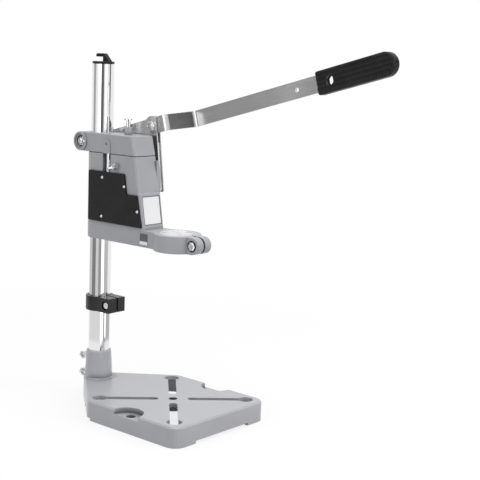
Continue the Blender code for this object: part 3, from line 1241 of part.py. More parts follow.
def build_wing_screw(finishes, pivot):
    """Thumb screw with two wings that clamps the depth stop rod."""
    tip = -DEPTH_ROD_DIAMETER / 2 - FIT_GAP
    seat = -HEAD_HALF_WIDTH - FIT_GAP
    outer = seat - WING_HUB_LENGTH
    shank = circle(WING_SHANK_DIAMETER / 2, MEDIUM_SIDES)
    hub = circle(WING_HUB_RADIUS, MEDIUM_SIDES)
    levels = [(shank, tip), (shank, seat), (hub, seat), (inset(hub, WING_HUB_TAPER), outer)]
    mesh = stacked(levels, (-DEPTH_OFFSET, WING_HEIGHT), "X")
    screw = add_object("wing_screw", mesh, finishes["zinc"], pivot)
    for side in (-1, 1):
        unite(screw, wing_mesh(side, (seat + outer) / 2, WING_DEPTH))


# Lever, in its own frame: the origin is the fulcrum and -Y runs to the grip
def ribbon(path, half_heights, thickness):
    """A flat bar on edge, following path points (along, aside)."""
    sections = []
    for index, (along, aside) in enumerate(path):
        here = Vector((along, aside))
        before = Vector(path[max(index - 1, 0)])
        after = Vector(path[min(index + 1, len(path) - 1)])
        arrive = (here - before).normalized() if index else (after - here).normalized()
        leave = (after - here).normalized() if index < len(path) - 1 else arrive
        tangent = (arrive + leave).normalized()
        normal = Vector((-tangent.y, tangent.x))
        reach = thickness / 2 / max(tangent.dot(leave), 0.5)
        near = here - normal * reach
        far = here + normal * reach
        high = half_heights[index]
        sections.append([(near.y, -near.x, -high), (far.y, -far.x, -high), (far.y, -far.x, high),
                         (near.y, -near.x, high)])
    return loft(sections)


def build_lever(finishes, pivot):
    half = LEVER_WIDTH / 2
    tail = []
    for step in range(1, LEVER_TAIL_STEPS + 1):
        angle = math.radians(90) * step / (LEVER_TAIL_STEPS + 1)
        tail.append((-half * math.cos(angle), half * math.sin(angle)))
    crank_start = LEVER_FIRST_LENGTH
    crank_end = LEVER_FIRST_LENGTH + LEVER_CRANK_FORWARD
    tip = GRIP_START + GRIP_TANG_DEPTH - GRIP_TANG_MARGIN
    run = rounded([(0, LEVER_SIDE, 0), (crank_start, LEVER_SIDE, LEVER_BEND_RADIUS),
                   (crank_end, GRIP_SIDE, LEVER_BEND_RADIUS), (tip, GRIP_SIDE, 0)],
                  LEVER_BEND_STEPS, closed=False)
    path = [(along, LEVER_SIDE) for along, high in tail] + run
    heights = [high for along, high in tail] + [half] * len(run)
    mesh = ribbon(path, heights, LEVER_THICKNESS)
    lever = add_object("lever_bar", mesh, finishes["steel"], pivot, local=True)
    holes = ((FULCRUM_BOLT_DIAMETER / 2 + FIT_GAP, LEVER_SIDE, 0),
             (LINK_PIN_DIAMETER / 2 + FIT_GAP, LEVER_SIDE, -LEVER_PIN_DISTANCE),
             (LEVER_EYE_DIAMETER / 2, GRIP_SIDE, -GRIP_START + LEVER_EYE_SETBACK),
             (GRIP_HOLE_DIAMETER / 2 + GRIP_TANG_MARGIN, GRIP_SIDE, -GRIP_START - GRIP_HOLE_SETBACK))
    reach = LEVER_THICKNESS / 2 + CUT_OVERRUN
    for radius, side, along in holes:
        cut(lever, rod(radius, side - reach, side + reach, (along, 0), "X"), local=True)


def grip_outline():
    """Side view of the grip, as (y, z): square at its start and half-round at its end."""
    half = GRIP_HEIGHT / 2
    end = arc((half - GRIP_START - GRIP_LENGTH, 0), half, 90, 270, GRIP_END_STEPS)
    start = [(-GRIP_START, -half, GRIP_START_CORNER), (-GRIP_START, half, GRIP_START_CORNER)]
    return rounded(start + [(along, high, 0) for along, high in end])


def cut_grip_flutes(grip):
    """Lengthwise flutes in both flat sides, open at the start and closed before the round end."""
    half = GRIP_HEIGHT / 2
    radius = (GRIP_FLUTE_WIDTH ** 2 / 4 + GRIP_FLUTE_DEPTH ** 2) / (2 * GRIP_FLUTE_DEPTH)
    aside = GRIP_THICKNESS / 2 - GRIP_FLUTE_DEPTH + radius
    for index in range(GRIP_FLUTES):
        high = GRIP_FLUTE_PITCH * (index - (GRIP_FLUTES - 1) / 2)
        reach = math.sqrt((half - GRIP_FLUTE_MARGIN) ** 2 - high ** 2)
        for side in (-1, 1):
            cut(grip, rod(radius, half - GRIP_START - GRIP_LENGTH - reach, -GRIP_START + CUT_OVERRUN,
                          (GRIP_SIDE + side * aside, high), "Y", edge=GRIP_FLUTE_DEPTH), local=True)


def cut_grip_holes(grip):
    """The slot for the lever's tang, the hanging hole through both, and a small hole in the end."""
    half = GRIP_THICKNESS / 2
    end = GRIP_START + GRIP_LENGTH
    half_slot = LEVER_THICKNESS / 2 + FIT_GAP
    half_tang = LEVER_WIDTH / 2 + FIT_GAP
    cut(grip, box((GRIP_SIDE - half_slot, -GRIP_START - GRIP_TANG_DEPTH, -half_tang),
                  (GRIP_SIDE + half_slot, -GRIP_START + CUT_OVERRUN, half_tang)), local=True)
    inner = circle(GRIP_HOLE_DIAMETER / 2, MEDIUM_SIDES)
    outer = circle(GRIP_HOLE_DIAMETER / 2 + GRIP_HOLE_FLARE + CUT_OVERRUN, MEDIUM_SIDES)
    levels = [(outer, GRIP_SIDE - half - CUT_OVERRUN), (inner, GRIP_SIDE - half + GRIP_HOLE_FLARE),
              (inner, GRIP_SIDE + half - GRIP_HOLE_FLARE), (outer, GRIP_SIDE + half + CUT_OVERRUN)]
    cut(grip, stacked(levels, (-GRIP_START - GRIP_HOLE_SETBACK, 0), "X"), local=True)
    cut(grip, rod(GRIP_END_HOLE_RADIUS, -end - CUT_OVERRUN, -end + GRIP_END_HOLE_DEPTH, (GRIP_SIDE, 0), "Y",
                  SMALL_SIDES), local=True)


def build_grip(finishes, pivot):
    half = GRIP_THICKNESS / 2
    levels = edge_levels(GRIP_SIDE - half, GRIP_SIDE + half, GRIP_EDGE, GRIP_EDGE)
    grip = add_object("handle_grip", soft_slab(grip_outline(), levels, "X"), finishes["grip"], pivot,
                      local=True)
    cut_grip_flutes(grip)
    cut_grip_holes(grip)


# Link, in its own frame: the origin is the upper pin and -Z runs to the lower stud
def link_plate_outline():
    """Side view of one link plate, as (y, z): straight front, round top, square lower end."""
    rise = math.degrees(math.acos(LINK_FRONT / LINK_TOP_RADIUS))
    foot = -LINK_LENGTH - LINK_BOTTOM_END
    top = arc((0, 0), LINK_TOP_RADIUS, 0, 180 - rise, LINK_TOP_STEPS)
    corners = [(-LINK_FRONT, 0, 0), (-LINK_FRONT, foot, LINK_FRONT_CORNER),
               (LINK_REAR, foot, LINK_REAR_CORNER), (LINK_TOP_RADIUS, 0, 0)]
    return top + rounded(corners, closed=False)[1:-1]


def slot_ring():
    """Outline of the long hole that the stud works in."""
    half_along = LINK_SLOT_ALONG / 2
    straight = LINK_SLOT_ACROSS / 2 - half_along
    right = arc((straight, 0), half_along, -90, 90, LINK_SLOT_STEPS)
    left = arc((-straight, 0), half_along, 90, 270, LINK_SLOT_STEPS)
    return [(y + LINK_SLOT_BACK, z - LINK_LENGTH + LINK_SLOT_RISE) for y, z in right + left]


def build_link(finishes, pivot):
    """Folded channel: two plates with the lever between them and a web set back between them."""
    mesh = prism(link_plate_outline(), LINK_INNER_FACE, LINK_OUTER_FACE, "X")
    link = add_object("link_channel", mesh, finishes["steel"], pivot, local=True)
    near = LINK_INNER_FACE + LINK_SHEET
    far = LINK_OUTER_FACE - LINK_SHEET
    front = -LINK_FRONT - CUT_OVERRUN
    rear = LINK_TOP_RADIUS + CUT_OVERRUN
    web_front = -LINK_FRONT + LINK_WEB_RECESS
    web_back = web_front + LINK_SHEET
    low = -LINK_LENGTH - LINK_BOTTOM_END - CUT_OVERRUN
    spans = ((web_back, rear, low, rear), (front, web_front, low, rear),
             (front, web_back + CUT_OVERRUN, -LINK_WEB_START, rear),
             (front, web_back + CUT_OVERRUN, low, -LINK_LENGTH - LINK_WEB_PAST_STUD))
    for low_y, high_y, low_z, high_z in spans:
        cut(link, box((near, low_y, low_z), (far, high_y, high_z)), local=True)
    inner = LINK_INNER_FACE - CUT_OVERRUN
    outer = LINK_OUTER_FACE + CUT_OVERRUN
    cut(link, rod(LINK_PIN_DIAMETER / 2 + FIT_GAP, inner, outer, (0, 0), "X"), local=True)
    cut(link, prism(slot_ring(), inner, outer, "X"), local=True)


def build_link_pin(finishes, pivot):
    radius = LINK_PIN_DIAMETER / 2
    seat = LINK_OUTER_FACE + FIT_GAP
    nut_high = LINK_INNER_FACE - FIT_GAP
    nut_low = nut_high - LINK_NUT_THICKNESS
    bolt = hex_bolt(radius, LINK_NUT_FLATS, seat, LINK_HEAD, nut_low, (0, 0), "X")
    add_object("link_pin", bolt, finishes["zinc"], pivot, local=True)
    nut = hex_nut(radius + FIT_GAP, LINK_NUT_FLATS, nut_low, nut_high, (0, 0), "X")
    add_object("link_pin_nut", nut, finishes["zinc"], pivot, local=True)


def build_link_stud(finishes, pivot):
    """Shoulder stud in the carriage lug; the link's long hole works on it."""
    centre = link_stud_place()
    radius = LINK_STUD_DIAMETER / 2
    seat = LINK_OUTER_FACE + FIT_GAP
    top = seat + LINK_STUD_HEAD
    tip = HEAD_HALF_WIDTH - LINK_STUD_DEPTH + FIT_GAP
    shank = circle(radius, MEDIUM_SIDES)
    head = circle(LINK_STUD_HEAD_RADIUS, MEDIUM_SIDES)
    levels = [(shank, tip), (shank, seat), (head, seat), (head, top - LINK_STUD_EDGE),
              (inset(head, LINK_STUD_EDGE), top)]
    stud = add_object("link_stud", stacked(levels, centre, "X"), finishes["zinc"], pivot)
    half = LINK_STUD_SLOT / 2
    reach = LINK_STUD_HEAD_RADIUS + CUT_OVERRUN
    cut(stud, box((top - LINK_STUD_SLOT_DEPTH, centre.x - reach, centre.y - half),
                  (top + CUT_OVERRUN, centre.x + reach, centre.y + half)))
    low = LINK_INNER_FACE + LINK_SHEET + FIT_GAP
    high = LINK_OUTER_FACE - LINK_SHEET - FIT_GAP
    spacer = sleeve(radius + FIT_GAP, LINK_SPACER_RADIUS, low, high, centre, "X")
    add_object("link_spacer", spacer, finishes["steel"], pivot)


def build_all():
    for item in list(bpy.data.objects):
        bpy.data.objects.remove(item, do_unlink=True)
    finishes = make_finishes()
    pivots = add_pivots()
    build_base(finishes)
    build_socket_bolts(finishes)
    build_column(finishes)
    build_column_cap(finishes)
    build_stop_collar(finishes, pivots["collar"])
    build_collar_screw(finishes, pivots["collar"])
    build_bracket(finishes, pivots["head"])
    build_fulcrum(finishes, pivots["head"])
    build_guide(finishes, pivots["head"])
    build_spring_pins(finishes, pivots["head"], pivots["carriage"])
    build_spring(finishes, pivots["head"])
    build_carriage(finishes, pivots["carriage"])
    build_ring_clamp(finishes, pivots["carriage"])
    build_side_cover(finishes, pivots["carriage"])
    build_cover_screws(finishes, pivots["carriage"])
    build_labels(finishes, pivots["carriage"])
    build_link_stud(finishes, pivots["carriage"])
    build_depth_stop(finishes, pivots["depth"])
    build_wing_screw(finishes, pivots["wing"])
    build_lever(finishes, pivots["lever"])
    build_grip(finishes, pivots["lever"])
    build_link(finishes, pivots["link"])
    build_link_pin(finishes, pivots["link"])


build_all()
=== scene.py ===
import math

import bmesh
import bpy
from mathutils import Matrix, Vector


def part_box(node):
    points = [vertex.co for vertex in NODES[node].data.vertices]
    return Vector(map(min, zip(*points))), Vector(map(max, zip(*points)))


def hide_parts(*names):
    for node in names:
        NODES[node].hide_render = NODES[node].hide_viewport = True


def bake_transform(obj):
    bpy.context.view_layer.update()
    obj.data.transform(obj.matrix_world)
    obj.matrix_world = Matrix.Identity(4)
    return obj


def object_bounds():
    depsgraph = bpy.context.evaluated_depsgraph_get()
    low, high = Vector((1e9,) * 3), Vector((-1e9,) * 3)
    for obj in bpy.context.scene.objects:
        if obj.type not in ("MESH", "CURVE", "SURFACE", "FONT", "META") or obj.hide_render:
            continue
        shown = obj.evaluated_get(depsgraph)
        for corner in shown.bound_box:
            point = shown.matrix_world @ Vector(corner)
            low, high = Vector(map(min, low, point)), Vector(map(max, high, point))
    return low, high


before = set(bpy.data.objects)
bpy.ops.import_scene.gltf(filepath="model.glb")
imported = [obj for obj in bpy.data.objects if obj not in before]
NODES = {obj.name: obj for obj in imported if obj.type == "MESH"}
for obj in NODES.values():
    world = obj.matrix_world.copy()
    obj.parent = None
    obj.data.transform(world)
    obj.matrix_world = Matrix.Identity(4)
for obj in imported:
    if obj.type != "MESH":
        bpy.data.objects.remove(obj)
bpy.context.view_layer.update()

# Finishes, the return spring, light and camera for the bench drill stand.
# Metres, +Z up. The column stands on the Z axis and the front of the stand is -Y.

SMOOTH_ANGLE = math.radians(35)
MICRON = 0.000001
WHITE = (1.0, 1.0, 1.0)

# Camera at the photograph's place
CAMERA_PLACE = (-0.866984, -0.946514, 0.398276)
CAMERA_YAW = 0.867658
CAMERA_PITCH = 0.161236
CAMERA_ROLL = 0.0364488
CAMERA_LENS = 83.527
CAMERA_SENSOR = 36.0

# Values that a noise texture mostly keeps between
NOISE_LOW = 0.3
NOISE_HIGH = 0.7

# Edges and creases: samples, and where the painted edge highlight and the painted crease shade
# set in and end
BEVEL_SAMPLES = 6
SHELTER_SAMPLES = 8
EDGE_HIGHLIGHT_FULL = 0.80
EDGE_HIGHLIGHT_NONE = 0.98
CREASE_SHUT = 0.40
CREASE_OPEN = 0.90

# Enamel: metallic share, and how much a painted highlight brightens it along its edges
ENAMEL_METALLIC = 0.02
ENAMEL_EDGE_HIGHLIGHT_REACH = 0.0011
ENAMEL_EDGE_HIGHLIGHT_GAIN = 1.30

# Clamp ring on the carriage: axis, bore, and where outside it the bright machining fades
RING_OFFSET = 0.1223
RING_BORE_RADIUS = 0.0192
BRIGHT_BORE_FADE = (0.0001, 0.0004)
BRIGHT_BORE_METALLIC = 0.9

# Lever: turn of its brushing, and its coated end, which starts inside the grip
LEVER_TURN = (math.radians(-15.3), 0, 0)
COATED_END_SETBACK = 0.008
COATED_END_BLUR = 0.0002
COATED_END_COLOUR = (0.013, 0.013, 0.014)

# Tag: share of its height that the pale strip takes
TAG_STRIP_SHARE = 0.31
TAG_STRIP_BLUR = 0.0001

# Floor: its size, its fade to white, and its tone as seen and as a source of bounced light
FLOOR_RADIUS = 1.25
FLOOR_SIDES = 96
FLOOR_FADE_START = 0.34
FLOOR_FADE_END = 0.75
FLOOR_PLAIN_WHITE = 0.80
FLOOR_SEEN_TONE = (0.96, 0.96, 0.96)
FLOOR_BOUNCED_TONE = (0.38, 0.38, 0.38)

# Studio walls, as a source of bounced light
STUDIO_TONE = (0.62, 0.62, 0.63)

# Lamps: name, place, width and height, power
LAMP_AIM = (0, -0.12, 0.2)
LAMPS = (
    ("top_softbox", (-0.1, -0.1, 1.7), (1.5, 1.5), 10.5),
    ("side_softbox", (-1.7, -0.35, 0.5), (0.9, 0.9), 3.5),
    ("front_softbox", (0.7, -1.9, 1.1), (1.1, 1.1), 13),
)

# Cards that polished metal mirrors: name, start, end, low, high, strength.
# Angles are degrees anticlockwise from the camera's own direction.
CARD_STEPS = 10
FAR_RADIUS = 0.72
FAR_CARDS = (
    ("back_left", -180, -126, 0.14, 0.75, 0.95),
    ("left_grey", -116, -74, 0.14, 0.75, 0.42),
    ("left_dark", -71, -60, 0.14, 0.75, 0.12),
    ("left_white", -55, -30, 0.14, 0.75, 1.90),
    ("camera_dark", -22, 14, 0.14, 0.42, 0.15),
    ("right_white", 22, 43, 0.14, 0.42, 1.90),
    ("crank_dark", 27, 66, 0.45, 0.95, 0.11),
    ("right_pale", 50, 60, 0.14, 0.75, 0.55),
    ("right_dark", 63, 81, 0.14, 0.75, 0.10),
)
NEAR_RADIUS = 0.27
NEAR_CARDS = (
    ("upper_left_edge", -150, -97, 0.058, 0.15, 0.66),
    ("upper_left_grey", -92, -53, 0.058, 0.15, 0.24),
    ("upper_left_pale", -47, -23, 0.058, 0.15, 0.72),
    ("upper_middle", -20, 12, 0.058, 0.15, 0.36),
    ("upper_strip", 15, 40, 0.058, 0.15, 1.60),
    ("upper_right_pale", 43, 78, 0.058, 0.15, 0.56),
    ("lower_left", -130, 8, 0.0, 0.056, 0.80),
    ("lower_strip", 11, 36, 0.0, 0.056, 2.20),
    ("lower_line", 40, 50, 0.0, 0.056, 0.34),
    ("lower_right_strip", 54, 72, 0.0, 0.056, 1.60),
    ("lower_right", 75, 130, 0.0, 0.056, 0.52),
)


# Helpers
def grey(tone):
    return (tone, tone, tone)


def shade(scale, colour):
    return tuple(scale * part for part in colour)


def add_object(name, data):
    made = bpy.data.objects.new(name, data)
    bpy.context.scene.collection.objects.link(made)
    return made


class Graph:
    """Short calls for the nodes of a material or a world. Colours are given without alpha."""

    def __init__(self, owner):
        owner.use_nodes = True
        self.tree = owner.node_tree

    def feed(self, socket, source):
        """Join a socket to a node's output, or set its value."""
        if isinstance(source, bpy.types.NodeSocket):
            self.tree.links.new(source, socket)
        elif socket.type == "RGBA":
            socket.default_value = (*source, 1.0)
        else:
            socket.default_value = source

    def node(self, kind, inputs=None, **settings):
        """Make a node with its settings, and feed its inputs by name or number."""
        made = self.tree.nodes.new(kind)
        for key, value in settings.items():
            setattr(made, key, value)
        for key, source in (inputs or {}).items():
            self.feed(made.inputs[key], source)
        return made

    def number(self, operation, *operands):
        """Result of an operation on numbers."""
        inputs = dict(enumerate(operands))
        return self.node("ShaderNodeMath", inputs, operation=operation).outputs["Value"]

    def vector(self, operation, *operands):
        """Outputs of a vector operation: Value for a length or a product, Vector for the rest."""
        inputs = dict(enumerate(operands))
        return self.node("ShaderNodeVectorMath", inputs, operation=operation).outputs

    def mix(self, factor, first, second, blend_type="MIX"):
        """A colour between two colours."""
        inputs = {"Factor": factor, "A": first, "B": second}
        made = self.node("ShaderNodeMix", inputs, data_type="RGBA", blend_type=blend_type)
        return made.outputs["Result"]

    def seen_directly(self):
        """One for rays from the camera and for those that metal or glass sends on."""
        path = self.node("ShaderNodeLightPath").outputs
        seen = path["Is Camera Ray"]
        for ray in ("Is Glossy Ray", "Is Transmission Ray"):
            seen = self.number("MAXIMUM", seen, path[ray])
        return seen


class Finish(Graph):
    """A procedural material built round one Principled shader."""

    def __init__(self, name, colour, roughness, metallic=0.0):
        self.material = bpy.data.materials.new(name)
        super().__init__(self.material)
        self.shader = self.tree.nodes["Principled BSDF"]
        self.set("Base Color", colour)
        self.set("Roughness", roughness)
        self.set("Metallic", metallic)
        self.place = self.node("ShaderNodeTexCoord").outputs["Object"]

    def set(self, socket, source):
        """Set a socket of the shader, or join it to a node's output."""
        self.feed(self.shader.inputs[socket], source)

    def base(self):
        """The output that gives the base colour so far."""
        return self.shader.inputs["Base Color"].links[0].from_socket

    def stretched(self, scale, turn=(0, 0, 0)):
        """Object coordinates, turned and then scaled by axis."""
        inverse = [1 / value for value in scale]
        inputs = {"Vector": self.place, "Rotation": turn, "Scale": inverse}
        return self.node("ShaderNodeMapping", inputs, vector_type="TEXTURE").outputs["Vector"]

    def noise(self, scale, detail, roughness=0.55, place=None):
        """Noise over the object coordinates, or over a stretched place."""
        inputs = {"Vector": place or self.place,
                  "Scale": scale, "Detail": detail, "Roughness": roughness}
        return self.node("ShaderNodeTexNoise", inputs).outputs["Fac"]

    def ramp(self, source, first, second, start, end):
        """The first colour for values up to start, the second from end on, a blend between."""
        made = self.node("ShaderNodeValToRGB", {"Fac": source})
        stops = zip(made.color_ramp.elements, (start, end), (first, second))
        for element, position, colour in stops:
            element.position = position
            element.color = (*colour, 1.0)
        return made.outputs["Color"]

    def spread(self, source, low, high, start=NOISE_LOW, end=NOISE_HIGH):
        """A value between start and end stretched to low and high."""
        inputs = {"Value": source,
                  "From Min": start, "From Max": end, "To Min": low, "To Max": high}
        return self.node("ShaderNodeMapRange", inputs).outputs["Result"]

    def falling(self, source, start, end):
        """One for values up to start, zero from end on, a slope between."""
        return self.spread(source, 1.0, 0.0, start, end)

    def below(self, axis, limit, blur):
        """One where an object coordinate is under the limit, and zero where it is over."""
        axes = self.node("ShaderNodeSeparateXYZ", {"Vector": self.place})
        return self.falling(axes.outputs[axis], limit - blur, limit + blur)

    def colour_between(self, source, first, second, start=NOISE_LOW, end=NOISE_HIGH):
        """Take the base colour from a ramp between two colours."""
        self.set("Base Color", self.ramp(source, first, second, start, end))

    def multiply(self, tone):
        """Multiply the base colour by a grey."""
        self.set("Base Color", self.mix(1.0, self.base(), tone, blend_type="MULTIPLY"))

    def rounded(self, radius):
        """Normals as if every edge were rounded."""
        bevel = self.node("ShaderNodeBevel", {"Radius": radius}, samples=BEVEL_SAMPLES)
        return bevel.outputs["Normal"]

    def paint_edge_highlight(self, reach, gain):
        """Paint a highlight into the base colour along rounded edges, where they would catch the
        light.
        """
        normal = self.node("ShaderNodeNewGeometry").outputs["Normal"]
        flatness = self.vector("DOT_PRODUCT", self.rounded(reach), normal)["Value"]
        self.multiply(self.spread(flatness, gain, 1.0, EDGE_HIGHLIGHT_FULL, EDGE_HIGHLIGHT_NONE))

    def paint_crease_shade(self, reach, darkest, alone=False):
        """Darken the base colour with painted shade in creases, those of its own piece alone if
        asked.
        """
        shelter = self.node("ShaderNodeAmbientOcclusion", {"Distance": reach},
                            samples=SHELTER_SAMPLES, only_local=alone)
        openness = shelter.outputs["AO"]
        self.multiply(self.ramp(openness, grey(darkest), WHITE, CREASE_SHUT, CREASE_OPEN))

    def relief(self, layers, edge=0.0):
        """Bump from (height, microns) layers, over edges rounded by the edge radius."""
        normal = self.rounded(edge) if edge else None
        for height, microns in layers:
            inputs = {"Height": height, "Distance": microns * MICRON, "Strength": 1.0}
            if normal:
                inputs["Normal"] = normal
            normal = self.node("ShaderNodeBump", inputs).outputs["Normal"]
        self.set("Normal", normal)


# Finishes
def cast_paint(name, colour, coat, coat_roughness):
    """Silver-grey stove enamel over a die casting: satin, with a faint flake and orange peel."""
    finish = Finish(name, colour, roughness=0.36, metallic=ENAMEL_METALLIC)
    finish.set("Specular IOR Level", 0.25)
    finish.set("Coat Weight", coat)
    finish.set("Coat Roughness", coat_roughness)
    cloud = finish.noise(scale=28, detail=4)
    finish.colour_between(cloud, shade(0.96, colour), shade(1.035, colour))
    # Painted highlight: the base colour brightens along rounded edges.
    finish.paint_edge_highlight(ENAMEL_EDGE_HIGHLIGHT_REACH, ENAMEL_EDGE_HIGHLIGHT_GAIN)
    finish.set("Roughness", finish.spread(cloud, low=0.33, high=0.44))
    skin = finish.noise(scale=150, detail=3)
    peel = finish.noise(scale=620, detail=2)
    flake = finish.noise(scale=5200, detail=1)
    finish.relief([(skin, 50), (peel, 16), (flake, 5)], edge=0.0006)
    return finish


def base_paint():
    finish = cast_paint("cast_silver_paint_base", (0.462, 0.464, 0.492),
                        coat=0.40, coat_roughness=0.12)
    # Painted shade: the base colour darkens deep in the slots and creases of the base's own
    # shape.
    finish.paint_crease_shade(reach=0.012, darkest=0.06, alone=True)
    return finish.material


def upper_paint(name):
    """Enamel of the head and the carriage, a little darker and duller than the base's."""
    finish = cast_paint(name, (0.420, 0.423, 0.450), coat=0.22, coat_roughness=0.16)
    # Painted shade: the base colour darkens in creases and in seams against other parts.
    finish.paint_crease_shade(reach=0.006, darkest=0.35)
    return finish


def head_paint():
    return upper_paint("cast_silver_paint_head").material


def carriage_paint():
    """The head's paint, with the clamp ring's bore machined bright."""
    finish = upper_paint("cast_silver_paint_carriage")
    centred = finish.vector("ADD", finish.place, (0, RING_OFFSET, 0))["Vector"]
    level = finish.vector("MULTIPLY", centred, (1, 1, 0))["Vector"]
    reach = finish.vector("LENGTH", level)["Value"]
    start, end = (RING_BORE_RADIUS + step for step in BRIGHT_BORE_FADE)
    bore = finish.falling(reach, start, end)
    turned = finish.noise(scale=1500, detail=2, place=finish.stretched((0.05, 0.05, 1)))
    bright = finish.ramp(turned, grey(0.92), WHITE, start=0.35, end=0.65)
    finish.set("Base Color", finish.mix(bore, finish.base(), bright))
    metallic = finish.spread(bore, ENAMEL_METALLIC, BRIGHT_BORE_METALLIC, start=0, end=1)
    finish.set("Metallic", metallic)
    return finish.material


def chrome():
    """Bright chromium over a drawn tube, with hair-fine lines along its length."""
    finish = Finish("bright_chrome", (0.82, 0.82, 0.83), roughness=0.07, metallic=1.0)
    haze = finish.noise(scale=35, detail=3)
    finish.set("Roughness", finish.spread(haze, low=0.055, high=0.10))
    lines = finish.noise(scale=900, detail=2, place=finish.stretched((1, 1, 0.012)))
    finish.relief([(lines, 0.8)])
    return finish.material


def brushed_steel(name, colour, roughness, grain, turn=(0, 0, 0)):
    """Steel strip with brushing lines along the axis that the grain stretches."""
    finish = Finish(name, colour, roughness, metallic=1.0)
    along = finish.stretched(grain, turn)
    streaks = finish.noise(scale=420, detail=4, roughness=0.6, place=along)
    lines = finish.noise(scale=2600, detail=3, roughness=0.6, place=along)
    cloud = finish.noise(scale=22, detail=3)
    finish.colour_between(streaks, shade(0.90, colour), shade(1.06, colour))
    finish.set("Roughness", finish.spread(cloud, roughness - 0.04, roughness + 0.05))
    finish.relief([(streaks, 3), (lines, 0.6)], edge=0.0003)
    return finish


def lever_steel():
    """Lever strip. The end inside the grip is coated black, as the grip's hole shows."""
    finish = brushed_steel("brushed_lever_steel", (0.62, 0.615, 0.615),
                           roughness=0.17, grain=(1, 0.02, 1), turn=LEVER_TURN)
    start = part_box("handle_grip")[1].y - COATED_END_SETBACK
    coated = finish.below("Y", start, COATED_END_BLUR)
    finish.set("Base Color", finish.mix(coated, finish.base(), COATED_END_COLOUR))
    finish.set("Metallic", finish.falling(coated, start=0, end=1))
    return finish.material


def link_steel():
    finish = brushed_steel("brushed_link_steel", (0.72, 0.715, 0.715),
                           roughness=0.16, grain=(1, 1, 0.03))
    return finish.material


def plated_steel():
    """Zinc-plated fasteners, slightly cloudy, with a fine grain."""
    colour = (0.88, 0.88, 0.89)
    finish = Finish("zinc_plated_steel", colour, roughness=0.22, metallic=1.0)
    cloud = finish.noise(scale=260, detail=4)
    finish.colour_between(cloud, shade(0.86, colour), shade(1.06, colour))
    finish.set("Roughness", finish.spread(cloud, low=0.14, high=0.28))
    finish.relief([(finish.noise(scale=2400, detail=2), 8)], edge=0.00035)
    return finish.material


def spring_steel():
    """Drawn spring wire, grey and slightly mottled."""
    finish = Finish("spring_steel", (0.40, 0.40, 0.41), roughness=0.30, metallic=1.0)
    cloud = finish.noise(scale=600, detail=3)
    finish.colour_between(cloud, (0.34, 0.34, 0.35), (0.46, 0.46, 0.47))
    finish.relief([(finish.noise(scale=4200, detail=2), 6)])
    return finish.material


def moulded_black(name, colour, roughness, gloss=0.18, coat=0.0,
                  grain_scale=1500, grain_microns=14):
    """Black moulded plastic with a fine spark-eroded grain, and painted shade that darkens its
    grooves.
    """
    finish = Finish(name, colour, roughness)
    finish.set("Specular IOR Level", gloss)
    finish.set("Coat Weight", coat)
    finish.set("Coat Roughness", 0.2)
    cloud = finish.noise(scale=45, detail=3)
    finish.colour_between(cloud, shade(0.82, colour), shade(1.20, colour))
    finish.set("Roughness", finish.spread(cloud, roughness - 0.06, roughness + 0.06))
    # Painted shade: the base colour darkens in grooves and creases.
    finish.paint_crease_shade(reach=0.003, darkest=0.08)
    grain = finish.noise(grain_scale, detail=2)
    finish.relief([(grain, grain_microns)], edge=0.0004)
    return finish.material


def label_film():
    """White polyester label, left bare."""
    finish = Finish("bare_label_film", (0.93, 0.93, 0.93), roughness=0.30)
    cloud = finish.noise(scale=60, detail=3)
    finish.colour_between(cloud, (0.91, 0.91, 0.915), (0.95, 0.95, 0.95))
    finish.relief([(finish.noise(scale=900, detail=2), 8)])
    return finish.material


def tag_film():
    """Dark tag with a pale strip along its foot."""
    low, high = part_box("arm_tag")
    strip_top = low.z + (high.z - low.z) * TAG_STRIP_SHARE
    finish = Finish("plain_tag_film", (0.10, 0.10, 0.11), roughness=0.35)
    strip = finish.below("Z", strip_top, TAG_STRIP_BLUR)
    finish.colour_between(strip, (0.13, 0.13, 0.135), (0.95, 0.95, 0.95), start=0.45, end=0.55)
    finish.relief([(finish.noise(scale=1200, detail=2), 6)])
    return finish.material


def dress_nodes():
    """Give every CAD node its finish and smooth shading."""
    cast_plastic = moulded_black("black_cast_plastic", (0.018, 0.018, 0.019), roughness=0.40)
    collar_plastic = moulded_black("black_collar_plastic", (0.017, 0.017, 0.018),
                                   roughness=0.36, coat=0.4)
    grip_plastic = moulded_black("black_grip_plastic", (0.027, 0.027, 0.028),
                                 roughness=0.34, gloss=0.08,
                                 grain_scale=1100, grain_microns=12)
    finishes = {
        base_paint(): ("base_casting",),
        head_paint(): ("upper_bracket",),
        carriage_paint(): ("carriage",),
        chrome(): ("column_tube", "guide_rod", "depth_stop_rod"),
        lever_steel(): ("lever_bar",),
        link_steel(): (
            "link_channel", "fulcrum_spacer", "link_spacer",
            "guide_rod_pin", "spring_pin_upper", "spring_pin_lower"),
        plated_steel(): (
            "socket_bolt_lower", "socket_bolt_upper", "stop_collar_screw", "stop_collar_nut",
            "fulcrum_bolt", "fulcrum_nut", "fulcrum_washer", "cover_screw_1", "cover_screw_2",
            "cover_screw_3", "cover_screw_4", "ring_clamp_bolt", "ring_clamp_nut",
            "link_stud", "wing_screw", "link_pin", "link_pin_nut"),
        spring_steel(): ("return_spring",),
        cast_plastic: ("side_cover", "column_cap"),
        collar_plastic: ("stop_collar",),
        grip_plastic: ("handle_grip",),
        label_film(): ("front_label",),
        tag_film(): ("arm_tag",),
    }
    for material, names in finishes.items():
        for name in names:
            data = NODES[name].data
            data.materials.clear()
            data.materials.append(material)
            data.shade_smooth()
            data.set_sharp_from_angle(angle=SMOOTH_ANGLE)


def build_spring():
    """A still copy of the return spring between its pins on the carriage and on the head, in
    place of its hidden node.
    """
    spring = add_object("return_spring_coil", NODES["return_spring"].data.copy())
    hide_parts("return_spring")
    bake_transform(spring)


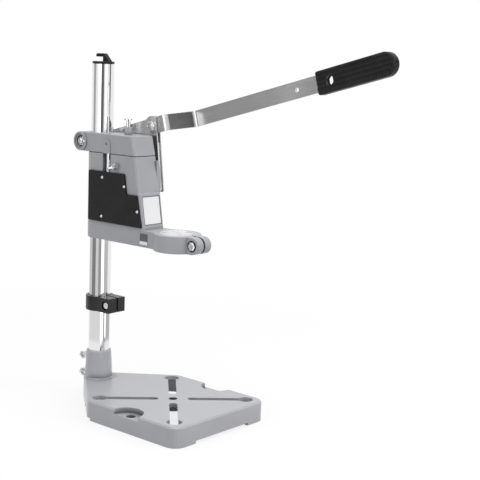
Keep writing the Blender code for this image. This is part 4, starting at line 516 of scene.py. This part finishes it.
# Stage
class StageSurface(Graph):
    """A stage material, made of plain shaders in place of the Principled one."""

    def __init__(self, name):
        self.material = bpy.data.materials.new(name)
        super().__init__(self.material)
        self.tree.nodes.remove(self.tree.nodes["Principled BSDF"])

    def glow(self, strength):
        """White light."""
        inputs = {"Color": WHITE, "Strength": strength}
        return self.node("ShaderNodeEmission", inputs).outputs["Emission"]

    def show(self, shader):
        """Put a shader on the surface."""
        self.feed(self.tree.nodes["Material Output"].inputs["Surface"], shader)


def card_material(name, strength):
    surface = StageSurface(name)
    surface.show(surface.glow(strength))
    return surface.material


def floor_material():
    """White floor that keeps a soft shadow and fades to the white background further out."""
    surface = StageSurface("pale_floor")
    place = surface.node("ShaderNodeTexCoord").outputs["Object"]
    fade = surface.node("ShaderNodeMapRange", {
        "Value": surface.vector("LENGTH", place)["Value"],
        "From Min": FLOOR_FADE_START, "From Max": FLOOR_FADE_END,
        "To Min": FLOOR_PLAIN_WHITE,
    }, interpolation_type="SMOOTHSTEP")
    direct = surface.seen_directly()
    white_share = surface.number("MULTIPLY", fade.outputs["Result"], direct)
    tone = surface.mix(direct, FLOOR_BOUNCED_TONE, FLOOR_SEEN_TONE)
    paper = surface.node("ShaderNodeBsdfDiffuse", {"Color": tone}).outputs["BSDF"]
    shaders = {"Fac": white_share, 1: paper, 2: surface.glow(1.0)}
    surface.show(surface.node("ShaderNodeMixShader", shaders).outputs["Shader"])
    return surface.material


def add_mesh(name, mesh, material):
    """Turn a bmesh into an object with one material."""
    data = bpy.data.meshes.new(name)
    mesh.to_mesh(data)
    mesh.free()
    data.materials.append(material)
    return add_object(name, data)


def build_floor():
    mesh = bmesh.new()
    bmesh.ops.create_circle(mesh, cap_ends=True, segments=FLOOR_SIDES, radius=FLOOR_RADIUS)
    floor = add_mesh("floor", mesh, floor_material())
    floor.location.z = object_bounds()[0].z


def build_card(name, radius, start, end, low, high, strength):
    """An upright card round the object, seen only in polished surfaces. Angles in degrees."""
    mesh = bmesh.new()
    columns = []
    for step in range(CARD_STEPS + 1):
        angle = math.radians(start + (end - start) * step / CARD_STEPS)
        x, y = radius * math.cos(angle), radius * math.sin(angle)
        columns.append((mesh.verts.new((x, y, low)), mesh.verts.new((x, y, high))))
    for near, far in zip(columns, columns[1:]):
        mesh.faces.new((near[0], far[0], far[1], near[1]))
    card = add_mesh(name, mesh, card_material(name, strength))
    card.visible_camera = False
    card.visible_diffuse = False
    card.visible_shadow = False
    card.visible_transmission = False


def build_cards():
    """Dark and bright cards, in a far and a near row."""
    camera_angle = math.degrees(math.atan2(CAMERA_PLACE[1], CAMERA_PLACE[0]))
    for radius, cards in ((FAR_RADIUS, FAR_CARDS), (NEAR_RADIUS, NEAR_CARDS)):
        for name, start, end, low, high, strength in cards:
            build_card(f"card_{name}", radius, camera_angle + start, camera_angle + end,
                       low, high, strength)


def build_world():
    """White to the camera and in reflections; to everything else a soft grey studio."""
    world = bpy.data.worlds.new("studio")
    bpy.context.scene.world = world
    graph = Graph(world)
    background = graph.tree.nodes["Background"].inputs
    graph.feed(background["Color"], graph.mix(graph.seen_directly(), STUDIO_TONE, WHITE))
    graph.feed(background["Strength"], 1.0)


def build_lights():
    for name, place, size, power in LAMPS:
        data = bpy.data.lights.new(name, "AREA")
        data.shape = "RECTANGLE"
        data.size, data.size_y = size
        data.energy = power
        lamp = add_object(name, data)
        lamp.location = place
        direction = Vector(LAMP_AIM) - Vector(place)
        lamp.rotation_euler = direction.to_track_quat("-Z", "Y").to_euler()


def build_camera():
    data = bpy.data.cameras.new("photo_camera")
    data.sensor_width = CAMERA_SENSOR
    data.lens = CAMERA_LENS
    camera = add_object("photo_camera", data)
    ahead = Vector((math.sin(CAMERA_YAW) * math.cos(CAMERA_PITCH),
                    math.cos(CAMERA_YAW) * math.cos(CAMERA_PITCH),
                    -math.sin(CAMERA_PITCH)))
    right = Vector((math.cos(CAMERA_YAW), -math.sin(CAMERA_YAW), 0))
    up = right.cross(ahead)
    side = right * math.cos(CAMERA_ROLL) + up * math.sin(CAMERA_ROLL)
    top = up * math.cos(CAMERA_ROLL) - right * math.sin(CAMERA_ROLL)
    turn = Matrix((side, top, -ahead)).transposed().to_4x4()
    camera.matrix_world = Matrix.Translation(CAMERA_PLACE) @ turn
    bpy.context.scene.camera = camera


bpy.context.scene.view_settings.view_transform = "Standard"
build_camera()
dress_nodes()
build_spring()
build_world()
build_floor()
build_cards()
build_lights()
